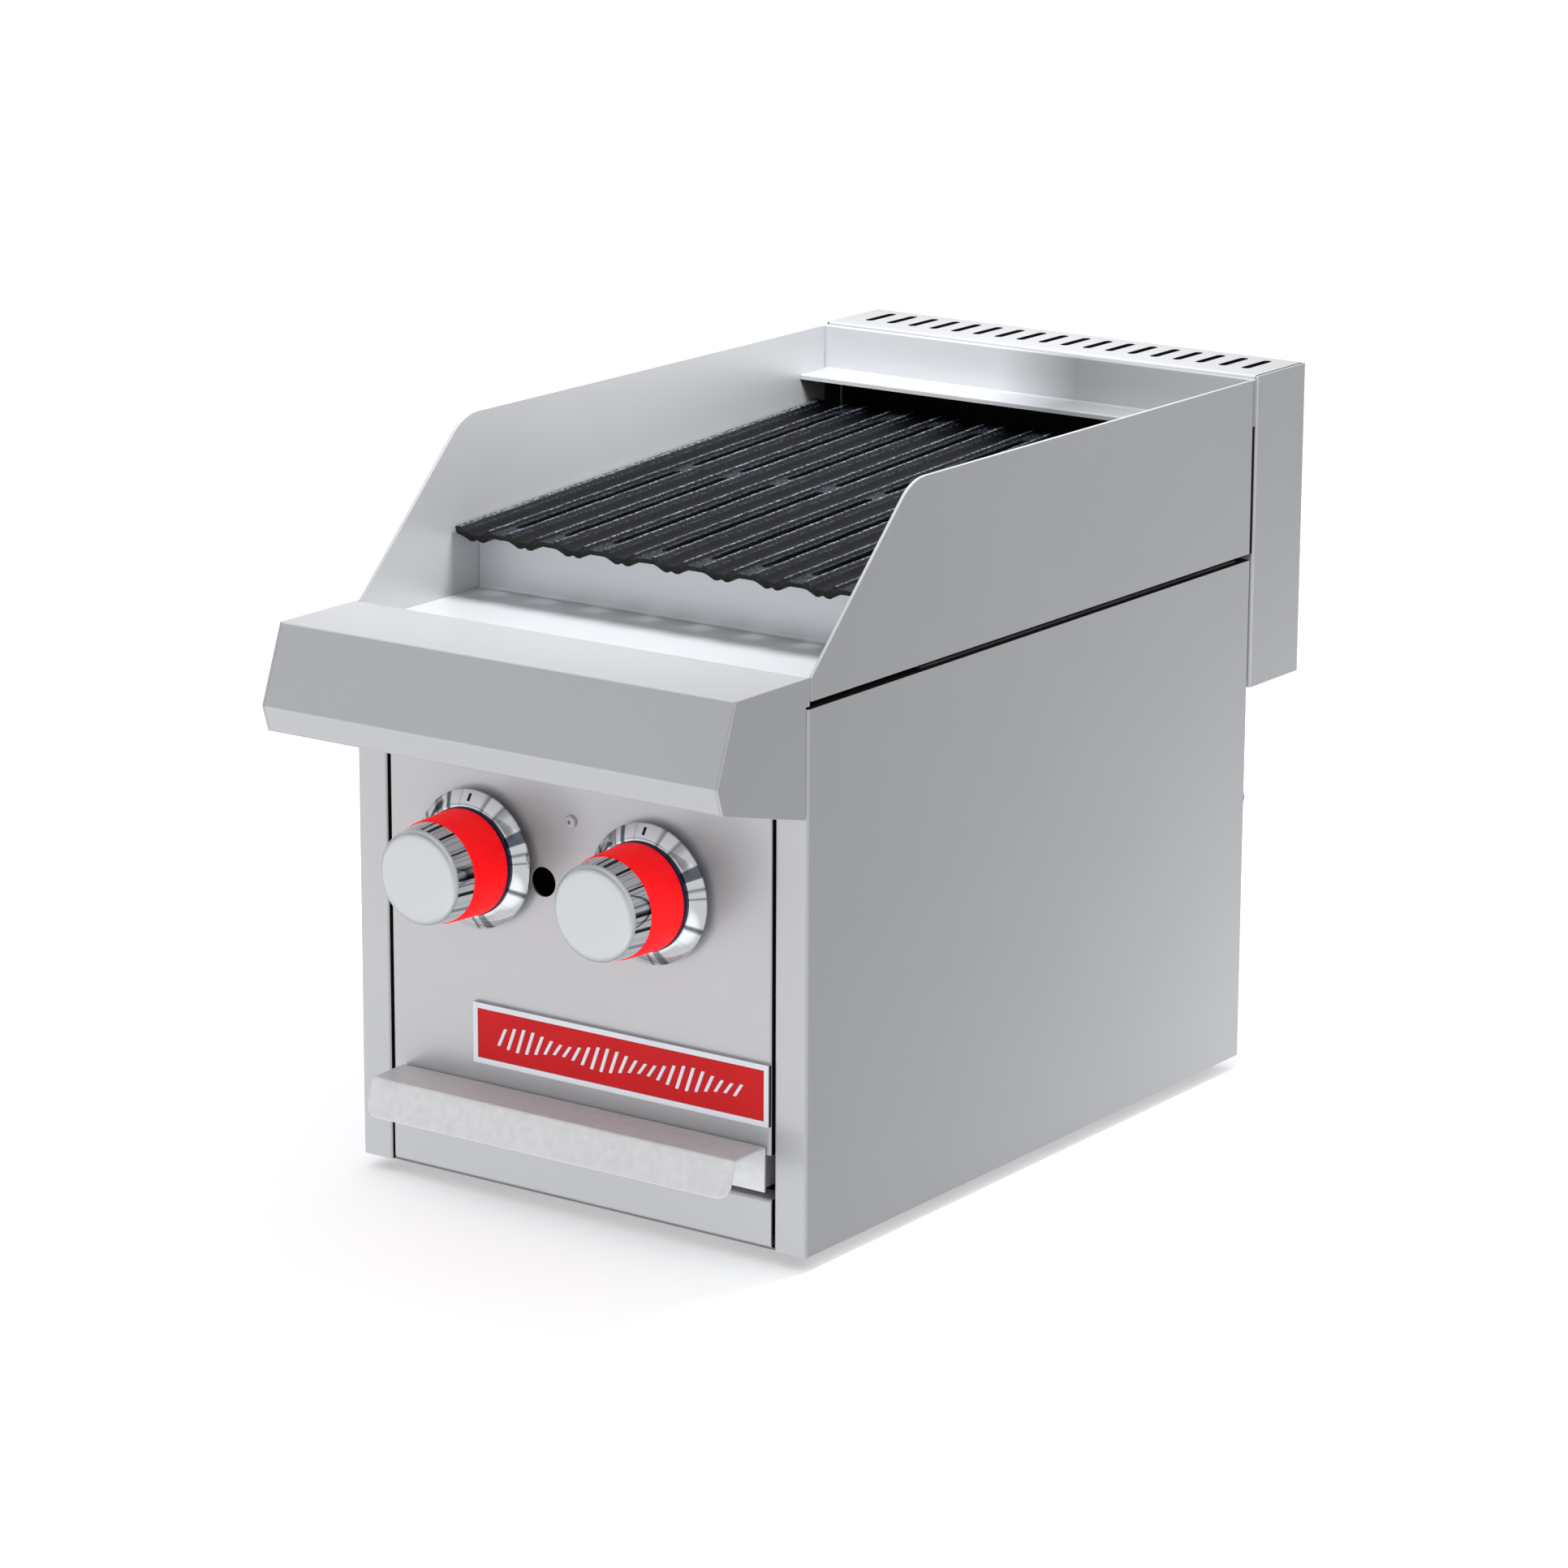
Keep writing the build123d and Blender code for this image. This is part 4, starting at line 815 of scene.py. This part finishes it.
# %% [markdown]
# The grate repeats one strip: half a gutter, a worn crest, the slotted channel, the other crest,
# and half a gutter. Its section is two lines, one for the top of the casting and one for its keel,
# each given from the channel's middle outwards as distances across and depths below the crest. A
# rim, with lines of its own, closes each side of the row.
# %% The section of the grate
PITCH, STRIPS, RUN = 33.2, 8, 347.8
SLOPE = math.radians(2.9)
SLOT_HALF = 2.8
SLOTS = ((20.0, 165.0), (184.0, 326.0))
CREST = [(0, 1.7), (2.8, 1.7), (4.8, 1.7), (5.3, 1.1), (5.7, 0.3), (6.2, 0.05), (6.7, 0)]
CREST += [(7.2, 0.05), (7.8, 0.3), (8.6, 0.9), (11.4, 2.9), (12.6, 3.7), (13.5, 4.0), (16.6, 4.0)]
KEEL = [(0, 4.6), (2.8, 4.6), (5.0, 4.6), (6.0, 4.75), (7.0, 5.1), (8.4, 5.9), (9.8, 6.8)]
KEEL += [(11.0, 7.6), (11.8, 8.1), (12.6, 8.2), (13.8, 8.2), (14.8, 7.9), (15.6, 7.3), (16.6, 7.0)]
RIM_TOP = [(132.8, 4.0), (136.0, 4.0), (136.8, 3.7), (138.2, 2.8), (141.6, 0.7), (142.9, 0)]
RIM_TOP += [(145.8, 0), (146.5, 0.7)]
RIM_LOW = [(132.8, 7.0), (134.6, 8.0), (136.2, 8.2), (137.8, 8.1), (139.2, 7.2), (142.0, 5.6)]
RIM_LOW += [(145.9, 4.6), (146.5, 4.0)]


def mirrored(line):
    """A half section line continued to the other side of zero."""
    return [(-x, depth) for x, depth in reversed(line[1:])] + line


print("the grate is", 2 * RIM_TOP[-1][0], "mm wide and", RUN, "mm long")

# %% [markdown]
# The strip is a grid that follows the section, with a row of points every five millimetres or so
# and one at each slot's end. Those rows bend round the slot's end, because a cast slot ends in a
# half circle. The casting's own two ends are set back the deeper they go, as they leave the sand.
# Cells over a slot are left out, and every open edge beside them gets a wall.
# %% One strip of the grate
ROW_SPACING = 5
END_ROUND, END_DRAFT = 0.3, 0.28
SLOT_FULLNESS = 0.98


def rows_along():
    """Distances along the strip, evenly spread between the slots' ends."""
    stops = sorted({0.0, RUN} | {end for slot in SLOTS for end in slot})
    rows = []
    for start, end in zip(stops, stops[1:]):
        count = max(2, round((end - start) / ROW_SPACING))
        rows += [start + (end - start) * i / count for i in range(count)]
    return rows + [RUN]


def bent(x, y):
    """Where a row of a slotted strip lies at x, when it bends round a slot's end."""
    for near, far in SLOTS:
        if y in (near, far) and abs(x) <= SLOT_HALF:
            rise = math.sqrt(SLOT_HALF**2 - x**2) * SLOT_FULLNESS
            return y - rise if y == near else y + rise
    return y


def grid_strip(name, top, low, slotted):
    """A closed strip between a top and a low section line, each of (x, depth) points in mm."""
    work = bmesh.new()
    rows = rows_along()
    columns, cells = len(top) - 1, len(rows) - 1

    def point(x, depth, y):
        """One vertex: set back at the strip's ends, bent at a slot's ends."""
        set_back = END_ROUND + END_DRAFT * max(0.0, depth - 1.0)
        if y in (0.0, RUN):
            y += set_back if y == 0.0 else -set_back
        elif slotted:
            y = bent(x, y)
        return work.verts.new((x * MM, y * MM, -depth * MM))

    upper = [[point(x, depth, y) for x, depth in top] for y in rows]
    lower = [[point(x, depth, y) for x, depth in low] for y in rows]

    def gone(i, j):
        """Whether the cell in column i and row j is part of a slot."""
        over = abs((top[i][0] + top[i + 1][0]) / 2) < SLOT_HALF
        along = any(start <= rows[j] and rows[j + 1] <= end for start, end in SLOTS)
        return slotted and over and along

    def wall(start, end):
        """One upright face between the top and the keel. start and end are (row, column)."""
        (a, b), (c, d) = start, end
        work.faces.new((upper[a][b], upper[c][d], lower[c][d], lower[a][b]))

    for j in range(cells):
        for i in range(columns):
            if gone(i, j):
                if not gone(i - 1, j):
                    wall((j, i), (j + 1, i))
                if not gone(i + 1, j):
                    wall((j, i + 1), (j + 1, i + 1))
                continue
            work.faces.new((upper[j][i], upper[j][i + 1], upper[j + 1][i + 1], upper[j + 1][i]))
            work.faces.new((lower[j][i], lower[j + 1][i], lower[j + 1][i + 1], lower[j][i + 1]))
            if j == 0 or gone(i, j - 1):
                wall((j, i), (j, i + 1))
            if j == cells - 1 or gone(i, j + 1):
                wall((j + 1, i), (j + 1, i + 1))
    if not slotted:
        for j in range(cells):
            wall((j, columns), (j + 1, columns))
    mesh = bpy.data.meshes.new(name)
    work.to_mesh(mesh)
    work.free()
    return mesh


strip = grid_strip("grate_strip", mirrored(CREST), mirrored(KEEL), True)
right_rim = grid_strip("grate_rim", RIM_TOP, RIM_LOW, False)
print("strip faces:", len(strip.polygons), "rim faces:", len(right_rim.polygons))

# %% [markdown]
# The rule lays the strip out in a row, joins the two rims, welds the seams, and pushes every
# point a little by noise, because a sand casting is nowhere quite straight. It also writes how
# high each point lies on the section, which the cast iron finish turns into wear, painted highlight
# and painted shade.
# %% The grate's rule
WELD = 0.02 * MM
TONE_DEPTH = 3.4 * MM
tree, given = start_rule(
    "grate_rule",
    Rims="Object",
    Pitch="Float",
    Strips="Int",
    Roughness="Float",
    Seed="Float",
    Finish="Material",
)
step = node(tree, "ShaderNodeCombineXYZ", {"X": given.outputs["Pitch"]}).outputs[0]
row = {"Count": given.outputs["Strips"], "Offset": step}
places = node(tree, "GeometryNodeMeshLine", row).outputs[0]
lay = {"Points": places, "Instance": given.outputs["Geometry"]}
laid = node(tree, "GeometryNodeInstanceOnPoints", lay).outputs[0]
rims = node(tree, "GeometryNodeObjectInfo", {"Object": given.outputs["Rims"]}).outputs["Geometry"]
both = node(tree, "GeometryNodeJoinGeometry")
tree.links.new(laid, both.inputs[0])
tree.links.new(rims, both.inputs[0])
loose = node(tree, "GeometryNodeRealizeInstances", {0: both.outputs[0]}).outputs[0]
welded = node(tree, "GeometryNodeMergeByDistance", {0: loose, "Distance": WELD}).outputs[0]
spot = node(tree, "GeometryNodeInputPosition").outputs[0]
height = node(tree, "ShaderNodeSeparateXYZ", {0: spot}).outputs["Z"]
# the share of the section's height that the iron's wear, painted highlight and painted shade follow
tone_by_height = {"Value": height, "From Min": -TONE_DEPTH, "From Max": 0.0}
share = node(tree, "ShaderNodeMapRange", tone_by_height).outputs[0]
store = {"Geometry": welded, "Name": "crest", "Value": share}
kind = {"data_type": "FLOAT", "domain": "POINT"}
marked = node(tree, "GeometryNodeStoreNamedAttribute", store, **kind).outputs[0]
drift = {"Vector": spot, "Scale": 110.0, "Detail": 2.0, "W": given.outputs["Seed"]}
wander = node(tree, "ShaderNodeTexNoise", drift, noise_dimensions="4D").outputs["Color"]
about_zero = {0: wander, 1: (0.5, 0.5, 0.5)}
centred = node(tree, "ShaderNodeVectorMath", about_zero, operation="SUBTRACT").outputs[0]
amount = {0: centred, "Scale": given.outputs["Roughness"]}
push = node(tree, "ShaderNodeVectorMath", amount, operation="SCALE").outputs[0]
rough = node(tree, "GeometryNodeSetPosition", {"Geometry": marked, "Offset": push}).outputs[0]
end_rule(tree, rough)
print("grate rule nodes:", len(tree.nodes))

# %% [markdown]
# The left rim is the right one mirrored, which turns it inside out, so the finished casting has
# its normals worked out again. It is then tilted, front edge down, so that fat runs to the trough,
# and set against the top and the front of the CAD grate.
# %% Lay out the grate
rim_mesh = bmesh.new()
rim_mesh.from_mesh(right_rim)
other = rim_mesh.copy()
bmesh.ops.scale(other, vec=(-1, 1, 1), verts=other.verts)
flipped = bpy.data.meshes.new("left_rim")
other.to_mesh(flipped)
rim_mesh.from_mesh(flipped)
shift = -(STRIPS - 1) / 2 * PITCH
bmesh.ops.translate(rim_mesh, vec=(-shift * MM, 0, 0), verts=rim_mesh.verts)
both_rims = bpy.data.meshes.new("both_rims")
rim_mesh.to_mesh(both_rims)
for used in (rim_mesh, other):
    used.free()
rims_object = bpy.data.objects.new("rims_for_rule", both_rims)
scene.collection.objects.link(rims_object)
casting = run_rule(
    tree,
    strip,
    "cast_grate",
    Rims=rims_object,
    Pitch=PITCH * MM,
    Strips=STRIPS,
    Roughness=0.95 * MM,
    Seed=3.0,
    Finish=finishes["grate"],
)
bpy.data.objects.remove(rims_object)
turned = bmesh.new()
turned.from_mesh(casting)
bmesh.ops.recalc_face_normals(turned, faces=turned.faces)
bmesh.ops.translate(turned, vec=(shift * MM, 0, 0), verts=turned.verts)
bmesh.ops.rotate(turned, verts=turned.verts, matrix=Matrix.Rotation(SLOPE, 3, "X"))
turned.to_mesh(casting)
turned.free()
casting.polygons.foreach_set("use_smooth", [True] * len(casting.polygons))
casting.set_sharp_from_angle(angle=math.radians(75))
low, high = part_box("grate")
climb = RUN * math.sin(SLOPE) * MM
grate_at = (0, low.y + 0.3 * MM, high.z - climb - 0.35 * MM)
declare("cast_grate", casting, "grate", "grate_iron", "grate", at=grate_at)
print("grate triangles:", sum(len(p.vertices) - 2 for p in casting.polygons))

# %% [markdown]
# The red plate carries a plain ornament of its own: slanted silver bars in a row, proud of the
# enamel, their heights rising and falling like a wave. Die-struck trim like this is one pressing.
# The bars follow one rule, so a Geometry Nodes tree lays them out. The red field is kept out of
# mirrored light, as the grips are.
# %% Nameplate ornament
BARS, BAR_PITCH, BAR_SIZE = 26, 6.3, (2.2, 0.5, 14.0)
BAR_LEAN, BAR_EDGE = 0.34, 0.15
SHORTEST, WAVE_STEP = 0.45, 0.72
bar = bmesh.new()
bmesh.ops.create_cube(bar, size=1.0)
bmesh.ops.scale(bar, vec=Vector(BAR_SIZE) * MM, verts=bar.verts)
for corner in bar.verts:
    corner.co.x += corner.co.z * BAR_LEAN
bmesh.ops.bevel(bar, geom=bar.edges[:], offset=BAR_EDGE * MM, segments=1, affect="EDGES")
bar_mesh = bpy.data.meshes.new("ornament_bar")
bar.to_mesh(bar_mesh)
bar.free()

inputs = {"Count": "Int", "Pitch": "Float", "Wave": "Float", "Finish": "Material"}
tree, given = start_rule("ornament_rule", **inputs)
step = node(tree, "ShaderNodeCombineXYZ", {"X": given.outputs["Pitch"]}).outputs[0]
row = {"Count": given.outputs["Count"], "Offset": step}
places = node(tree, "GeometryNodeMeshLine", row).outputs[0]
number = node(tree, "GeometryNodeInputIndex").outputs[0]
phase = {0: number, 1: given.outputs["Wave"]}
turn = node(tree, "ShaderNodeMath", phase, operation="MULTIPLY").outputs[0]
wave = node(tree, "ShaderNodeMath", {0: turn}, operation="SINE").outputs[0]
heights = {"Value": wave, "From Min": -1.0, "From Max": 1.0, "To Min": SHORTEST, "To Max": 1.0}
tall = node(tree, "ShaderNodeMapRange", heights).outputs[0]
size = node(tree, "ShaderNodeCombineXYZ", {"X": 1.0, "Y": 1.0, "Z": tall}).outputs[0]
lay = {"Points": places, "Instance": given.outputs["Geometry"], "Scale": size}
end_rule(tree, node(tree, "GeometryNodeInstanceOnPoints", lay).outputs[0])
ornament = run_rule(
    tree,
    bar_mesh,
    "nameplate_ornament_mesh",
    Count=BARS,
    Pitch=BAR_PITCH * MM,
    Wave=WAVE_STEP,
    Finish=finishes["plate_metal"],
)
low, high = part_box("nameplate_field")
middle = (low + high) / 2
start = middle.x - (BARS - 1) / 2 * BAR_PITCH * MM
frame["nodes"]["nameplate_field"].visible_glossy = False
declare("nameplate_ornament", ornament, "root", "nameplate_metal", at=(start, low.y, middle.z))
print("ornament bars:", BARS)

# %% [markdown]
# Six button-head screws hold the rear panel. Each is a low dome with a round-bottomed socket,
# cold headed and zinc plated. One head is spun, and a rule sets it on a grid of two by three.
# %% Rear screw heads
HEAD = [(0.0, 3.55), (0.5, 3.55), (1.3, 3.1), (1.8, 2.4), (2.05, 1.5), (2.05, 1.25)]
HEAD += [(1.0, 1.1), (0.8, 0.3)]
HEAD_RADIUS = 3.6
head_mesh = spun("screw_head", HEAD, steps=24)
inputs = {"Columns": "Int", "Rows": "Int", "Width": "Float", "Height": "Float"}
tree, given = start_rule("screw_rule", **inputs, Finish="Material")
layout = {
    "Size X": given.outputs["Width"],
    "Size Y": given.outputs["Height"],
    "Vertices X": given.outputs["Columns"],
    "Vertices Y": given.outputs["Rows"],
}
grid = node(tree, "GeometryNodeMeshGrid", layout).outputs[0]
upended = {"Geometry": grid, "Rotation": (math.pi / 2, 0, 0)}
stood = node(tree, "GeometryNodeTransform", upended).outputs[0]
facing_back = (0, 0, math.pi)
lay = {"Points": stood, "Instance": given.outputs["Geometry"], "Rotation": facing_back}
end_rule(tree, node(tree, "GeometryNodeInstanceOnPoints", lay).outputs[0])
low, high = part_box("rear_screws")
screws = run_rule(
    tree,
    head_mesh,
    "rear_screw_heads_mesh",
    Columns=2,
    Rows=3,
    Width=high.x - low.x - 2 * HEAD_RADIUS * MM,
    Height=high.z - low.z - 2 * HEAD_RADIUS * MM,
    Finish=finishes["zinc"],
)
middle = (low + high) / 2
heads_at = (middle.x, low.y, middle.z)
declare("rear_screw_heads", screws, "root", "zinc_steel", "rear_screws", at=heads_at)
print("rear screws at", round(low.y, 4))
